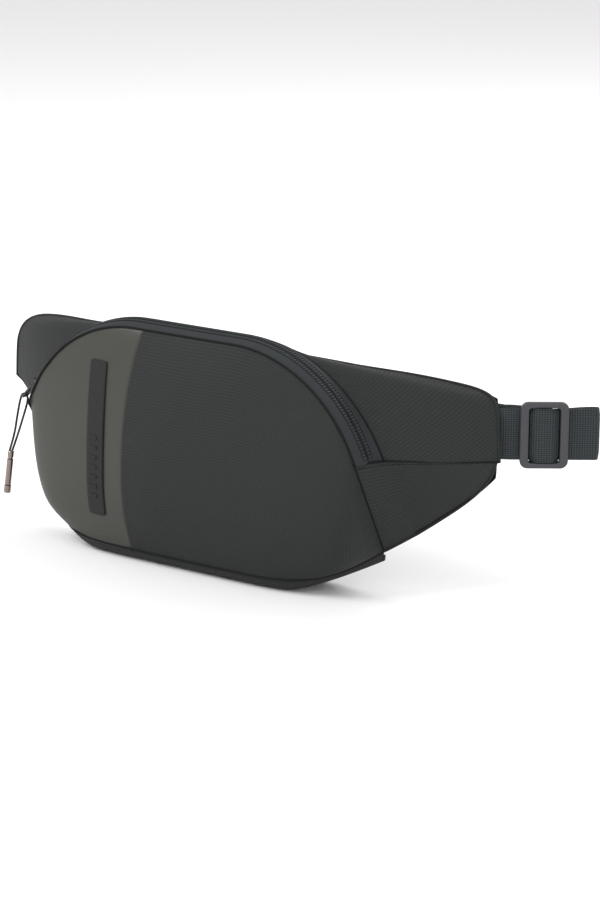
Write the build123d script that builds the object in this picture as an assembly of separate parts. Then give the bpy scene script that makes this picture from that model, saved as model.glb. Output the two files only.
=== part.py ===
from build123d import *
import os
from math import asin, copysign, cos, degrees, pi, radians, sin, sqrt, tan

# A waist bag: a curved pouch with two wings, an arched zip and a webbing belt.
# X is the wearer's width, the front faces -Y, +Z is up. All sizes are millimetres.
# The shapes are drawn with y = 0 in the plane of the back panel; keep() then moves
# each node so that the origin is the middle of the flat base the bag stands on.

# ---- driving dimensions -------------------------------------------------------
ARCH_X = 37.0            # centre of each corner arc of the zip arch
ARCH_Z = 49.5
ARCH_R = 93.0            # radius of the front seam round the arch
ZIP_END_Z = 84.0         # level where the zip ends and the wing seam runs
FRONT_SEAM_Y = -40.0     # front seam at the top of the arch
ZIP_Y = -29.5            # centre of the zip
ZIP_R = 96.5             # radius of the zip's centre line
REAR_SEAM_Y = -19.5      # rear edge of the zip tape
CORNER_X = 120.0         # lower corner where front, wing, base and back meet
CORNER_Y = -3.0
CORNER_Z = 25.0
BASE_SEAM_Y = -45.0      # front seam of the base gusset, in the middle
BASE_SEAM_Z = 8.0
BASE_FLAT = 72.0         # the base is flat this far each side of the middle
TIP_X = 185.0            # end of a wing
TIP_Y = 19.0
BACK_EDGE_Z = 133.5      # top edge of the back panel
FABRIC = 1.2             # outer fabric with its backing
LINING = 0.6
FOLD_GAP = 0.8           # half the gap between the two halves of the front, at the fold
COATED_EDGE = -37.0      # the coated panel ends here, left of the middle
WEB_W = 30.0             # belt webbing
WEB_T = 1.6
BELT_Z = 100.0           # middle of the belt
BELT_TILT = radians(37)  # the belt leaves the wing at this angle
BASE_MIDDLE_Y = -22.25   # middle of the flat base, from the plane of the back panel

nodes = {}


# ---- the bag's surfaces -------------------------------------------------------
def arch(s, r):
    """Point of the arch of radius r; s is -1 and 1 at its ends and 0 at the top."""
    flat = ARCH_X / (ARCH_X + ARCH_R * (pi / 2 - asin((ZIP_END_Z - ARCH_Z) / ARCH_R)))
    d = abs(s)
    if d <= flat:
        return copysign(ARCH_X * d / flat, s), ARCH_Z + r
    end = asin((ZIP_END_Z - ARCH_Z) / r)
    angle = pi / 2 - (d - flat) / (1 - flat) * (pi / 2 - end)
    return copysign(ARCH_X + r * cos(angle), s), ARCH_Z + r * sin(angle)


def base_seam(s):
    """y and z of the base seam: nearly straight, then turned up and back to the corner."""
    d = abs(s)
    y = BASE_SEAM_Y + (CORNER_Y - BASE_SEAM_Y) * d ** 6
    return y, BASE_SEAM_Z + (CORNER_Z - BASE_SEAM_Z) * d ** 7


def front_at(s, t):
    """Front panel: from the base seam (t 0) to the zip seam (t 1), crowned forward."""
    top_x, top_z = arch(s, ARCH_R)
    top_y = FRONT_SEAM_Y + 2 * s * s
    low_x = CORNER_X * s
    low_y, low_z = base_seam(s)
    x = low_x + (top_x - low_x) * t
    y = low_y + (top_y - low_y) * t
    z = low_z + (top_z - low_z) * t
    crown = 9 * (max(0, z - 50) / 92) ** 2 + 7 * (max(0, 50 - z) / 42) ** 2
    forward = -52 + crown + 12 * (x / 124) ** 2
    shoulder = sqrt(max(0, 1 - abs(s) ** 12)) * sqrt(max(0, 1 - abs(2 * t - 1) ** 10))
    side = 6 * s ** 4 * (1 - abs(s) ** 20) * max(0, sin(pi * t)) ** 0.7
    return x + copysign(side, s), y + shoulder * (forward - y), z


def front(q, p):
    """The same panel with its rows and columns drawn together towards the seams."""
    return front_at(sin(pi * q / 2), (1 - cos(pi * p)) / 2)


def zip_band(s, w):
    """Zip tape: from the front seam (w 0) to the rear seam (w 1), outer face."""
    seam_y = FRONT_SEAM_Y + 2 * s * s
    y = seam_y + w * (REAR_SEAM_Y - seam_y)
    rear_r = 94 + 5.5 * abs(s) ** 3
    r = ZIP_R + 0.1 * (y - ZIP_Y)
    r -= 2.6 * (max(0, -33 - y) / 6) ** 1.5
    r += (rear_r - ZIP_R - 0.7) * (max(0, y + 25.5) / 6) ** 1.5
    x, z = arch(s, r)
    return x, y, z


def back_y(x):
    """Rear face of the wings, which curve back towards the wearer."""
    return 28.8 * (max(0, abs(x) - 95) / 83) ** 1.6


def soft_ramp(u, soft):
    """Zero below 0 and u above it, with a rounded turn."""
    return (u + sqrt(u * u + soft * soft)) / 2


def top_edge_z(x):
    """Height of the top edge: level in the middle, then falling towards each tip."""
    return BACK_EDGE_Z - 0.2 * soft_ramp(abs(x) - 135, 30)


def low_rise(h):
    """Height share of a wing's lower edge: a nearly straight diagonal, steeper at the tip."""
    return 0.8 * h ** 1.08 + 0.2 * h ** 7


def low_edge(h):
    """Lower edge of a wing, from the lower corner (h 0) to the tip (h 1)."""
    x = CORNER_X + (TIP_X - 3 - CORNER_X) * h
    z = CORNER_Z + (ZIP_END_Z - CORNER_Z) * low_rise(h)
    y = CORNER_Y + (back_y(x) - 1 - CORNER_Y) * min(1, 4 * h)
    return x, y + (TIP_Y - y) * h ** 6, z


def upper_edge(e):
    """Top edge of a wing from the middle of the bag (e 0), then down its tip (e 1)."""
    corner = 0.86
    down = soft_ramp(e - corner, 0.05)
    x = TIP_X * (e - down) / corner
    z = top_edge_z(x) - (top_edge_z(TIP_X) - ZIP_END_Z) * down / (1 - corner)
    y = back_y(x) - 1
    turn = min(1, max(0, (e - 0.72) / 0.2))
    return x, y + (TIP_Y - y) * turn * turn * (3 - 2 * turn), z


def wing_upper(s, w):
    """Upper wing panel, from the zip's rear seam (w 0) to the wing's edge (w 1)."""
    x0, y0, z0 = zip_band(s, 1)
    x1, y1, z1 = upper_edge(1.075 * s - 0.375 * soft_ramp(s - 0.8, 0.08))
    plane_y = y0 + (TIP_Y - y0) * (x1 - x0) / (TIP_X - x0)
    wing = min(1, max(0, (s - 0.3) / 0.35))
    rolled = y0 + (plane_y - y0) * w + (y1 - plane_y) * w ** 8
    y = y0 + (y1 - y0) * w + (rolled - y0 - (y1 - y0) * w) * wing * wing * (3 - 2 * wing)
    return x0 + (x1 - x0) * w, y - 0.8 * sin(pi * w), z0 + (z1 - z0) * w


def bent(h, bend, first, middle, last):
    """A line from first to last that turns softly at middle, where h equals bend."""
    slope = (middle - first) / bend
    after = (last - middle) / (1 - bend)
    return first + slope * h + (after - slope) * (soft_ramp(h - bend, 0.05) - soft_ramp(-bend, 0.05))


def wing_lower(h, v):
    """Lower wing panel, from the wing seam (v 0) to the lower edge (v 1)."""
    root = 0.26
    ax, az = arch(1, ARCH_R)
    rx, ry, rz = zip_band(1, 1)
    x0 = bent(h, root, ax, rx, TIP_X)
    y0 = bent(h, root, -38, ry, TIP_Y)
    x1, y1, z1 = low_edge(h)
    crown = 1.5 * sin(pi * v) * sin(pi * h)
    return x0 + (x1 - x0) * v, y0 + (y1 - y0) * v - crown, ZIP_END_Z + (z1 - ZIP_END_Z) * v


def back(a, b, offset=0.0):
    """Back panel: a runs -1 to 1 from tip to tip, b from the bottom to the top edge."""
    x = TIP_X * a
    d = abs(x)
    if d <= CORNER_X:
        low = 5 + (CORNER_Z - 5) * (max(0, d - 70) / (CORNER_X - 70)) ** 2
    else:
        h = (d - CORNER_X) / (TIP_X - CORNER_X)
        low = CORNER_Z + (ZIP_END_Z - CORNER_Z) * low_rise(h)
    return x, back_y(x) + offset, low + (top_edge_z(x) - low) * b


def base_section(x):
    """Section of the base gusset across the bag: its flat bottom lies on the ground."""
    seam_y, seam_z = base_seam(x / CORNER_X)
    front_y, front_z = seam_y + 0.6, seam_z - 1.2
    beyond_flat = max(0.0, abs(x) - BASE_FLAT) / (CORNER_X - BASE_FLAT)
    low_z = 19.0 * beyond_flat ** 1.4
    size = (front_z - low_z) / 6.8
    back_z = low_z + 4.5 * size
    outside = [(front_y, front_z), (front_y + 7.5 * size, low_z), (-6.0 * size - 1.6, low_z), (-1.8, back_z)]
    within = [
        (-1.8 - FABRIC, back_z),
        (-6.0 * size - 2.2, low_z + FABRIC),
        (front_y + 7.5 * size + 0.6, low_z + FABRIC),
        (front_y + FABRIC, front_z),
    ]
    return Polyline([Vector(x, y, z) for y, z in outside + within], close=True)


# ---- helpers ------------------------------------------------------------------
def sheet(surface, first, last, n, low, high, m, thickness, inside):
    """Closed solid: a surface between two pairs of limits, thickened towards inside."""
    rows = []
    for i in range(n):
        p = first + (last - first) * i / (n - 1)
        edge0 = low(p) if callable(low) else low
        edge1 = high(p) if callable(high) else high
        rows.append([Vector(*surface(p, edge0 + (edge1 - edge0) * j / (m - 1))) for j in range(m)])
    near = Vector(*inside) - rows[n // 2][m // 2]
    sign = 1 if across(rows, n // 2, m // 2).dot(near) > 0 else -1
    depth = sign * thickness
    far = [[rows[i][j] + across(rows, i, j) * depth for j in range(m)] for i in range(n)]
    outer = Face.make_surface_from_array_of_points(rows)
    lining = Face.make_surface_from_array_of_points(far)
    pairs = zip(outer.edges(), lining.edges())
    walls = [Face.make_surface_from_curves(one, other) for one, other in pairs]
    return Solid(Shell([outer, lining] + walls))


def across(rows, i, j):
    """Unit normal of a grid of points at one of its points."""
    i0, i1 = max(0, i - 1), min(len(rows) - 1, i + 1)
    j0, j1 = max(0, j - 1), min(len(rows[0]) - 1, j + 1)
    return (rows[i1][j] - rows[i0][j]).cross(rows[i][j1] - rows[i][j0]).normalized()


def inner(surface, depth, centre=(0.0, -14.0, 72.0)):
    """The same surface drawn in towards the middle of the pouch by about depth."""
    sizes = (124.0, 38.0, 72.0)

    def smaller(p, q):
        point = surface(p, q)
        return tuple(c + (v - c) * (1 - depth / size) for v, c, size in zip(point, centre, sizes))

    return smaller


def mirror_x(shape):
    return shape.mirror(Plane.YZ)


def keep(name, shape):
    """File a node, one solid or a group of separate solids, in the bag's frame."""
    nodes[name] = Pos(0, -BASE_MIDDLE_Y, 0) * shape


MIDDLE = (0.0, -15.0, 70.0)


# ---- front of the pouch -------------------------------------------------------
def fold_p(q):
    """Where the front panel crosses the fold level, found by halving."""
    low, high = 0.0, 1.0
    for _ in range(40):
        mid = (low + high) / 2
        if front(q, mid)[2] < ZIP_END_Z:
            low = mid
        else:
            high = mid
    return low


def front_part(q0, q1, upper, depth=0.0, thickness=FABRIC, n=21, edge=0.06):
    """Part of the front panel on one side of the fold."""
    gap = FOLD_GAP / 140
    surface = inner(front, depth) if depth else front
    if upper:
        return sheet(surface, q0, q1, n, lambda q: fold_p(q) + gap, 1 - edge, 11, thickness, MIDDLE)
    return sheet(surface, q0, q1, n, edge, lambda q: fold_p(q) - gap, 11, thickness, MIDDLE)


SEAM_Q = 2 / pi * asin(COATED_EDGE / 131.0)
UPPER_Q = 0.86
LOWER_Q = 0.965
keep("front_panel_lower", front_part(SEAM_Q + 0.002, LOWER_Q, False))
keep("coated_panel_lower", front_part(-LOWER_Q, SEAM_Q - 0.002, False, n=17))
keep("front_panel_upper", front_part(SEAM_Q + 0.002, UPPER_Q, True))
keep("coated_panel_upper", front_part(-UPPER_Q, SEAM_Q - 0.002, True, n=17))
keep("front_lining_lower", front_part(-0.9, 0.9, False, 2.4, LINING, 31, 0.1))
keep("front_lining_upper", front_part(-0.8, 0.8, True, 2.4, LINING, 31, 0.12))

# The label strip lies on the coated panel and is cut at the fold like the panel.
LABEL_X = -61.0
LABEL_W = 13.5
LABEL_LOW = 26.0
LABEL_HIGH = 121.0


def on_front(x, z, lift):
    """Point on the front panel at a given width and height, lifted forward."""
    s, t = x / 125, (z - 10) / 130
    for _ in range(40):
        px, py, pz = front_at(s, t)
        s += (x - px) / 140
        t += (z - pz) / 150
    return x, front_at(s, t)[1] - lift, z


def label_patch(x0, x1, z0, z1, lift, thickness):
    def face(x, z):
        return on_front(x, z, lift)

    return sheet(face, x0, x1, 5, z0, z1, 9, thickness, (LABEL_X, -200, 70))


LABEL_X0 = LABEL_X - LABEL_W / 2
LABEL_X1 = LABEL_X + LABEL_W / 2
keep("label_strip_lower", label_patch(LABEL_X0, LABEL_X1, LABEL_LOW, ZIP_END_Z - FOLD_GAP, 0.15, 0.7))
keep("label_strip_upper", label_patch(LABEL_X0, LABEL_X1, ZIP_END_Z + FOLD_GAP, LABEL_HIGH, 0.15, 0.7))
BAR_PITCH = 6.0
bars = []
for number in range(7):
    z = 38 + BAR_PITCH * number
    bars.append(label_patch(LABEL_X - 5.2, LABEL_X + 1.8, z - 1.1, z + 1.1, 0.95, 0.5))
keep("label_bars", Compound(children=bars))


# ---- zip ----------------------------------------------------------------------
ZIP_SHARE = 0.985        # the tapes reach this share of the arch, each side of its top
SPLIT = -0.895           # left of this the two tapes stay joined, under the closed slider


def band_strip(w0, w1, depth, thickness, first=-ZIP_SHARE, last=ZIP_SHARE, n=41):
    """Strip of the zip band, between two widths across it and two places along the arch."""
    surface = inner(zip_band, depth) if depth else zip_band
    return sheet(surface, first, last, n, w0, w1, 5, thickness, MIDDLE)


keep("zip_tape_front", band_strip(0.05, 0.47, 0, 0.8, SPLIT + 0.01))
keep("zip_tape_end", band_strip(0.05, 0.47, 0, 0.8, -ZIP_SHARE, SPLIT, 9))
keep("zip_tape_rear", band_strip(0.53, 0.97, 0, 0.8))
keep("zip_coil_front", band_strip(0.36, 0.475, 1.3, 1.3, SPLIT + 0.01))
keep("zip_coil_rear", band_strip(0.525, 0.64, 1.3, 1.3))


def piping_top(s, f):
    x, z = arch(s, ARCH_R + 0.1)
    return x, FRONT_SEAM_Y + 2 * s * s + 1.5 * (f - 0.75), z


keep("piping_top", sheet(piping_top, -0.965, 0.965, 41, 0, 1, 3, 1.4, (0, -40, 900)))


def piping_base(s, f):
    x, y, z = front_at(s, 0.0)
    return x, y + 1.4 * (f - 0.75), z - 0.2


keep("piping_base", sheet(piping_base, -0.8, 0.8, 33, 0, 1, 3, 0.7, (0, -40, -900)))

# ---- wings, back and base -----------------------------------------------------
right = {
    "wing_upper": sheet(wing_upper, 0.004, 0.985, 41, 0.03, 0.985, 13, FABRIC, (60, 10, 80)),
    "wing_lower": sheet(wing_lower, 0.02, 0.965, 21, 0.02, 0.97, 11, FABRIC, (60, 10, 80)),
}
for name, solid in right.items():
    keep(name + "_right", solid)
    keep(name + "_left", mirror_x(solid))


def back_skin(a, b):
    return back(a, b)


keep("back_panel", sheet(back_skin, -0.935, 0.935, 61, 0.085, 0.935, 9, FABRIC, (0, -200, 70)))
stations = [-110.0, -98.0, -86.0, -BASE_FLAT, BASE_FLAT, 86.0, 98.0, 110.0]
keep("base_gusset", loft([make_face(base_section(x)) for x in stations], ruled=True))


def pad(x0, x1, z0, z1, y0, y1, corner):
    """Flat foam pad with rounded corners and a softened rear edge."""
    shape = Pos((x0 + x1) / 2, y0, (z0 + z1) / 2) * Rot(-90, 0, 0) * Box(
        x1 - x0, z1 - z0, y1 - y0, align=(Align.CENTER, Align.CENTER, Align.MIN)
    )
    upright = shape.edges().filter_by(Axis.Y)
    shape = fillet(upright, corner)
    return fillet(shape.faces().sort_by(Axis.Y)[-1].edges(), 2.0)


keep("back_foam_left", pad(-92, -8, 14, 88, 0.4, 6.4, 14))
keep("back_foam_right", pad(8, 92, 14, 88, 0.4, 6.4, 14))

# ---- rear pocket: a short straight zip above the pads --------------------------
POCKET_Z = 120.0
POCKET_HALF = 78.0
tape = Box(2 * POCKET_HALF + 8, 0.8, 8.0)
keep("pocket_zip_tape_upper", Pos(0, 0.8, POCKET_Z + 4.6) * tape)
keep("pocket_zip_tape_lower", Pos(0, 0.8, POCKET_Z - 4.6) * tape)
coil = Box(2 * POCKET_HALF, 1.2, 1.8)
coils = [Pos(0, 1.9, POCKET_Z + side * 1.6) * coil for side in (-1, 1)]
keep("pocket_zip_coils", Compound(children=coils))


SLIDER_T = 1.6           # thickness of a slider's upper plate
BRIDGE_H = 3.2
PIN_LIFT = SLIDER_T + 1.1   # height of a pull tab's cross bar over the tape
PULL_EYE_R = 1.5
TAB_T = 1.1


def slider_body(length, width):
    """Zip slider lying along X: two plates on a post, and a bridge over the upper one."""
    low = (Align.CENTER, Align.CENTER, Align.MIN)
    plate = Box(length, width, SLIDER_T, align=low)
    plate = fillet(plate.edges().filter_by(Axis.Z), width * 0.28)
    bridge = Pos(0, 0, SLIDER_T) * Box(length * 0.66, 1.8, BRIDGE_H, align=low)
    tunnel = Pos(0, 0, SLIDER_T) * Box(length * 0.66 - 2.2, 10, BRIDGE_H - 1.0, align=low)
    return plate + (bridge - tunnel)


def pull_tab(width, length, thick):
    """Flat pull tab hanging down -Z, its cross bar on the origin and its faces along X."""
    low = (Align.CENTER, Align.CENTER, Align.MAX)
    plate = Pos(0, 0, thick / 2) * Box(thick, width, length, align=low)
    tip = plate.edges().filter_by(Axis.X).group_by(Axis.Z)[0]
    plate = fillet(tip, width * 0.35)
    window = Pos(0, 0, -thick / 2) * Box(10, 2.8, 5.2, align=low)
    eye = Pos(0, 0, PULL_EYE_R * 1.9 - length) * Rot(0, 90, 0) * Cylinder(PULL_EYE_R, 10)
    return plate - window - eye


pocket_x = 8 - POCKET_HALF
pocket_face = 2.8
keep("pocket_slider", Pos(pocket_x, pocket_face, POCKET_Z) * Rot(-90, 0, 0) * slider_body(9, 7))
pocket_tab = Rot(90, 0, 0) * Rot(0, -90, 0) * pull_tab(5, 20, TAB_T)
keep("pocket_pull", Pos(pocket_x, pocket_face + PIN_LIFT, POCKET_Z) * pocket_tab)

# ---- main zip's slider, with its pull tab, cord and metal puller ----------------
REST_ANGLE = asin((92.5 - ARCH_Z) / ZIP_R)
SLIDER_R = ZIP_R + 0.55
SLIDER_SPOT = Pos(-ARCH_X, ZIP_Y, ARCH_Z) * Rot(0, degrees(REST_ANGLE) - 90, 0)
keep("main_slider", SLIDER_SPOT * Pos(0, 0, SLIDER_R) * slider_body(11, 8))

PIN_R = SLIDER_R + PIN_LIFT
PIN_X = -ARCH_X - PIN_R * cos(REST_ANGLE)
PIN_Z = ARCH_Z + PIN_R * sin(REST_ANGLE)
TAB_LEAN = 45.0          # the tab lies over the slider, so it hangs away from the bag
TAB_LENGTH = 13.0
keep("main_pull_tab", Pos(PIN_X, ZIP_Y, PIN_Z) * Rot(0, TAB_LEAN, 0) * pull_tab(6, TAB_LENGTH, TAB_T))

# The cord is one loop through the tab's eye; its two ends are gripped in the puller's cap.
CORD_D = 1.4
EYE_DROP = TAB_LENGTH - PULL_EYE_R * 1.9
EYE_X = PIN_X - EYE_DROP * sin(radians(TAB_LEAN))
EYE_Z = PIN_Z - EYE_DROP * cos(radians(TAB_LEAN))
PULLER_TOP = Vector(EYE_X - 9.4, ZIP_Y - 4.3, EYE_Z - 36.4)
PULLER_FOOT = PULLER_TOP + Vector(-3.3, -0.8, -27.0)
eye = Vector(EYE_X, ZIP_Y, EYE_Z)
run = PULLER_TOP - eye
cord_points = [
    PULLER_TOP + Vector(0.7, 0.5, 0.3),
    eye + run * 0.72 + Vector(1.6, 0.5, 0),
    eye + run * 0.40 + Vector(2.2, 0.4, 0),
    eye + run * 0.12 + Vector(2.5, 0.2, -0.6),
    eye + Vector(1.6, 0.0, -0.6),
    eye + Vector(-2.6, 0.0, 0.9),
    eye + run * 0.12 + Vector(-3.1, -0.2, 0.8),
    eye + run * 0.40 + Vector(-1.8, -0.6, 0.3),
    eye + run * 0.72 + Vector(0.0, -0.7, 0.2),
    PULLER_TOP + Vector(-0.7, -0.5, 0.3),
]


def cord_radii(points):
    """Largest radius that each corner's runs leave room for."""
    radii = []
    for before, here, after in zip(points, points[1:], points[2:]):
        turn = radians((here - before).get_angle(after - here))
        shorter = min((here - before).length, (after - here).length)
        radii.append(0.45 * shorter / tan(turn / 2))
    return radii


radii = cord_radii(cord_points)
cord_line = FilletPolyline(*cord_points, radius=radii)
start = Plane(origin=cord_points[0], z_dir=cord_points[1] - cord_points[0])
pull_cord = sweep(start * Circle(CORD_D / 2), path=cord_line)
print("cord radii", [round(r, 1) for r in radii], "length", round(cord_line.length, 1))
print("cord volume over section times length", pull_cord.volume / (pi * CORD_D ** 2 / 4 * cord_line.length))
keep("pull_cord", pull_cord)

# Metal puller: a turned cap, barrel and end ring, with grooves between them.
puller_axis = Plane(origin=PULLER_TOP, z_dir=PULLER_FOOT - PULLER_TOP)


def turned(outline):
    """Solid of revolution about the puller's axis from distances and radii."""
    points = [(0, outline[0][0])] + [(r, d) for d, r in outline] + [(0, outline[-1][0])]
    profile = make_face(Plane.XZ * Polyline([Vector(r, d) for r, d in points], close=True))
    return puller_axis * revolve(profile, Axis.Z)


keep("puller_cap", turned([(0, 1.5), (0.5, 1.9), (4.2, 1.9), (4.2, 1.4), (5.0, 1.4)]))
keep("puller_barrel", turned([(5.02, 1.4), (5.4, 2.0), (21.6, 2.0), (21.6, 1.5), (22.2, 1.5)]))
keep("puller_end_ring", turned([(22.22, 1.5), (22.5, 2.2), (27.0, 2.2), (27.4, 1.8)]))

# ---- belt ---------------------------------------------------------------------
ALONG = Vector(cos(BELT_TILT), sin(BELT_TILT), 0)
REARWARD = Vector(-sin(BELT_TILT), cos(BELT_TILT), 0)
SLEEVE = Vector(180.9, 25.1, 0)


def belt_point(run, rear):
    """Plan point at a distance along the belt from the wing's tip and behind its middle."""
    return SLEEVE + ALONG * run + REARWARD * rear


SLEEVE_TILT = radians(31)  # inside the wing the belt lies along the wing's panel
INWARD = Vector(cos(SLEEVE_TILT), sin(SLEEVE_TILT), 0)
INWARD_REAR = Vector(-sin(SLEEVE_TILT), cos(SLEEVE_TILT), 0)


def sleeve_point(run, rear):
    """Plan point inside the wing: run is negative, measured from the wing's tip."""
    return SLEEVE + INWARD * run + INWARD_REAR * rear


def webbing(points, radii, thickness=WEB_T, low=BELT_Z - WEB_W / 2, width=WEB_W):
    """Webbing on edge: a plan route of straight runs and arcs, given its width along Z."""
    line = FilletPolyline(*points, radius=radii)
    return Pos(0, 0, low) * extrude(trace(line, thickness), width, dir=(0, 0, 1))


FRONT_LAYER = -4.0       # the belt's front layer, from the middle of the wing's sleeve
REAR_LAYER = 3.4
RING_RUN = -14.0         # the ring inside the wing
RING_LAYER = 2.85        # the belt's layers pass the ring this far from its middle
FOLD_RUN = 55.0          # the belt folds back here and goes behind the bag
BUCKLE_Y = 16.5
front_route = [
    belt_point(0, REAR_LAYER),
    sleeve_point(RING_RUN + 4, RING_LAYER),
    sleeve_point(RING_RUN - 4.2, RING_LAYER),
    sleeve_point(RING_RUN - 4.2, -RING_LAYER),
    sleeve_point(RING_RUN + 4, -RING_LAYER),
    belt_point(4, FRONT_LAYER),
    belt_point(FOLD_RUN, FRONT_LAYER),
    belt_point(FOLD_RUN, FRONT_LAYER + 4.8),
    belt_point(34, 5.5),
    belt_point(-6, 12.0),
    Vector(128, BUCKLE_Y - 1.0, 0),
    Vector(88, BUCKLE_Y, 0),
    Vector(33, BUCKLE_Y, 0),
]
keep("belt_right", webbing(front_route, [30, 2.8, 2.8, 30, 30, 2.3, 2.3, 40, 40, 60, 40]))


def flip_x(point):
    return Vector(-point.X, point.Y, 0)


left_route = [
    flip_x(sleeve_point(-26, -1.0)),
    flip_x(sleeve_point(-6, -0.5)),
    flip_x(belt_point(3.0, 0.5)),
    flip_x(belt_point(3.0, 6.0)),
    flip_x(belt_point(-12, 12.0)),
    Vector(-128, BUCKLE_Y - 1.0, 0),
    Vector(-88, BUCKLE_Y, 0),
    Vector(-45.2, BUCKLE_Y, 0),
]
keep("belt_left", webbing(left_route, [30, 2.4, 2.4, 40, 40, 60]))

# The ring that the belt runs round inside the right wing, and the tab that anchors it.
RING_LENGTH = 12.0
RING_BAR = 1.9
RING_SIDE = 2.4
ring_bar = Pos(*sleeve_point(RING_RUN, 0)) * Pos(0, 0, BELT_Z) * Cylinder(RING_BAR, WEB_W + 4)
far_bar = Pos(*sleeve_point(RING_RUN - RING_LENGTH, 0)) * Pos(0, 0, BELT_Z) * Cylinder(RING_BAR, WEB_W + 4)
near_run, far_run = RING_RUN + RING_BAR, RING_RUN - RING_LENGTH - RING_BAR
ring_corners = [
    sleeve_point(far_run, -RING_BAR),
    sleeve_point(near_run, -RING_BAR),
    sleeve_point(near_run, RING_BAR),
    sleeve_point(far_run, RING_BAR),
]
ring_side = extrude(make_face(Polyline(ring_corners, close=True)), RING_SIDE, dir=(0, 0, 1))
ring_top = Pos(0, 0, BELT_Z + WEB_W / 2 + 0.8) * ring_side
ring_foot = Pos(0, 0, BELT_Z - WEB_W / 2 - 0.8 - RING_SIDE) * ring_side
keep("belt_ring", ring_bar + far_bar + ring_top + ring_foot)
tab_route = [
    sleeve_point(RING_RUN - 40, -1.0),
    sleeve_point(RING_RUN - 16, -2.9),
    sleeve_point(RING_RUN - 9.0, -2.9),
    sleeve_point(RING_RUN - 9.0, 2.9),
    sleeve_point(RING_RUN - 16, 2.9),
    sleeve_point(RING_RUN - 40, 1.0),
]
keep("ring_tab", webbing(tab_route, [6, 2.6, 2.6, 6], 1.2, BELT_Z - 14, 28))

# ---- tri-glide ----------------------------------------------------------------
GLIDE_RUN = 24.0         # middle of the tri-glide, along the belt from the wing's tip
GLIDE_W = 27.6
GLIDE_H = 38.6
GLIDE_T = 3.4
GLIDE_REAR = -5.05       # rear face of the frame: the belt runs just behind it
glide_plane = Plane(
    origin=SLEEVE + ALONG * GLIDE_RUN + REARWARD * GLIDE_REAR + Vector(0, 0, BELT_Z),
    x_dir=ALONG,
    z_dir=-REARWARD,
)
frame_sketch = glide_plane * (RectangleRounded(GLIDE_W, GLIDE_H, 4.5) - RectangleRounded(17.7, 32.0, 1.8))
frame_solid = extrude(frame_sketch, GLIDE_T)
rims = frame_solid.faces().sort_by(Axis(glide_plane.origin, glide_plane.z_dir))
frame_solid = fillet(rims[-1].edges(), 1.0)
bar = extrude(glide_plane * Pos(0, 0, 0.15) * RectangleRounded(4.4, 33.0, 0.8), 2.0)
keep("triglide", frame_solid + bar)
hump_points = [(-8.3, 0.35), (-4.2, 3.2), (4.2, 3.2), (8.3, 0.35)]
hump_line = FilletPolyline(
    *[glide_plane.origin + ALONG * a - REARWARD * (b + 0.55) - Vector(0, 0, BELT_Z) for a, b in hump_points],
    radius=[4.0, 4.0],
)
keep("webbing_over_bar", Pos(0, 0, BELT_Z - WEB_W / 2) * extrude(trace(hump_line, 1.1), WEB_W, dir=(0, 0, 1)))
end_route = [
    belt_point(GLIDE_RUN + 4.5, FRONT_LAYER + 1.9),
    belt_point(GLIDE_RUN - 9, FRONT_LAYER + 1.95),
    belt_point(GLIDE_RUN - 18, REAR_LAYER - 2.1),
    belt_point(GLIDE_RUN - 23, REAR_LAYER - 2.1),
]
keep("belt_sewn_end", webbing(end_route, [12, 12], 1.3))

# ---- side-release buckle behind the bag -----------------------------------------
BUCKLE_H = 36.0
BUCKLE_T = 8.0
BUCKLE_SPOT = Pos(0, BUCKLE_Y, BELT_Z) * Rot(-90, 0, 0)


def slab(x0, x1, y0, y1, z0, z1):
    """Box between two corners, in the buckle's own frame: X along it, Y up, Z rearward."""
    return Pos((x0 + x1) / 2, (y0 + y1) / 2, (z0 + z1) / 2) * Box(x1 - x0, y1 - y0, z1 - z0)


def rounded_slab(x0, x1, half, z0, z1, corner):
    """Slab across the buckle, with rounded corners and the same half height each way."""
    outline = Pos((x0 + x1) / 2, 0, z0) * RectangleRounded(x1 - x0, 2 * half, corner)
    return extrude(outline, z1 - z0)


socket = rounded_slab(-50, -2, BUCKLE_H / 2, -BUCKLE_T / 2, BUCKLE_T / 2, 5)
socket = fillet(socket.faces().sort_by(Axis.Z)[-1].edges(), 1.2)
cavity = slab(-30, 0, -13.2, 13.2, -2.6, 2.6)
windows = slab(-24, -9, -20, 20, -2.6, 2.6)
web_slots = slab(-40, -35, -15.5, 15.5, -10, 10) + slab(-49, -44.5, -15.5, 15.5, -10, 10)
lead = slab(-52, -33, -15.5, 15.5, -0.9, 0.9) - slab(-44.5, -40, -20, 20, -2, 2)
keep("buckle_socket", BUCKLE_SPOT * (socket - cavity - windows - web_slots - lead))

plug = rounded_slab(-1.4, 46, BUCKLE_H / 2, -2.4, 2.4, 4)
plug = plug - slab(24, 30, -15.5, 15.5, -10, 10) - slab(36, 41, -15.5, 15.5, -10, 10)
plug = plug - slab(30, 50, -15.5, 15.5, -0.9, 0.9)
plug = plug - slab(-3, 6, 6.2, 14.2, -5, 5) - slab(-3, 6, -14.2, -6.2, -5, 5)
guide = slab(-26, -1.0, -3.0, 3.0, -1.8, 1.8)
keep("buckle_plug", BUCKLE_SPOT * (plug + guide + slab(30.0, 36.0, -15.5, 15.5, -2.4, -1.0)))

PRONG_ROOT = 4.4         # the prongs bend about here, from the middle of the buckle
PRONG_Y = 10.0
arm = slab(-20, 5.6, 8.4, 11.6, -1.8, 1.8)
head = fillet(slab(-23, -11, 8.4, 16.6, -1.8, 1.8).edges().filter_by(Axis.Z), 1.2)
keep("buckle_prong_lower", BUCKLE_SPOT * (arm + head))
keep("buckle_prong_upper", BUCKLE_SPOT * (arm + head).mirror(Plane.XZ))

# ---- inside: slip pocket and key leash ------------------------------------------
def slip_pocket(x, z):
    return x, -4.6 - 0.9 * cos(x / 40), z


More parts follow.
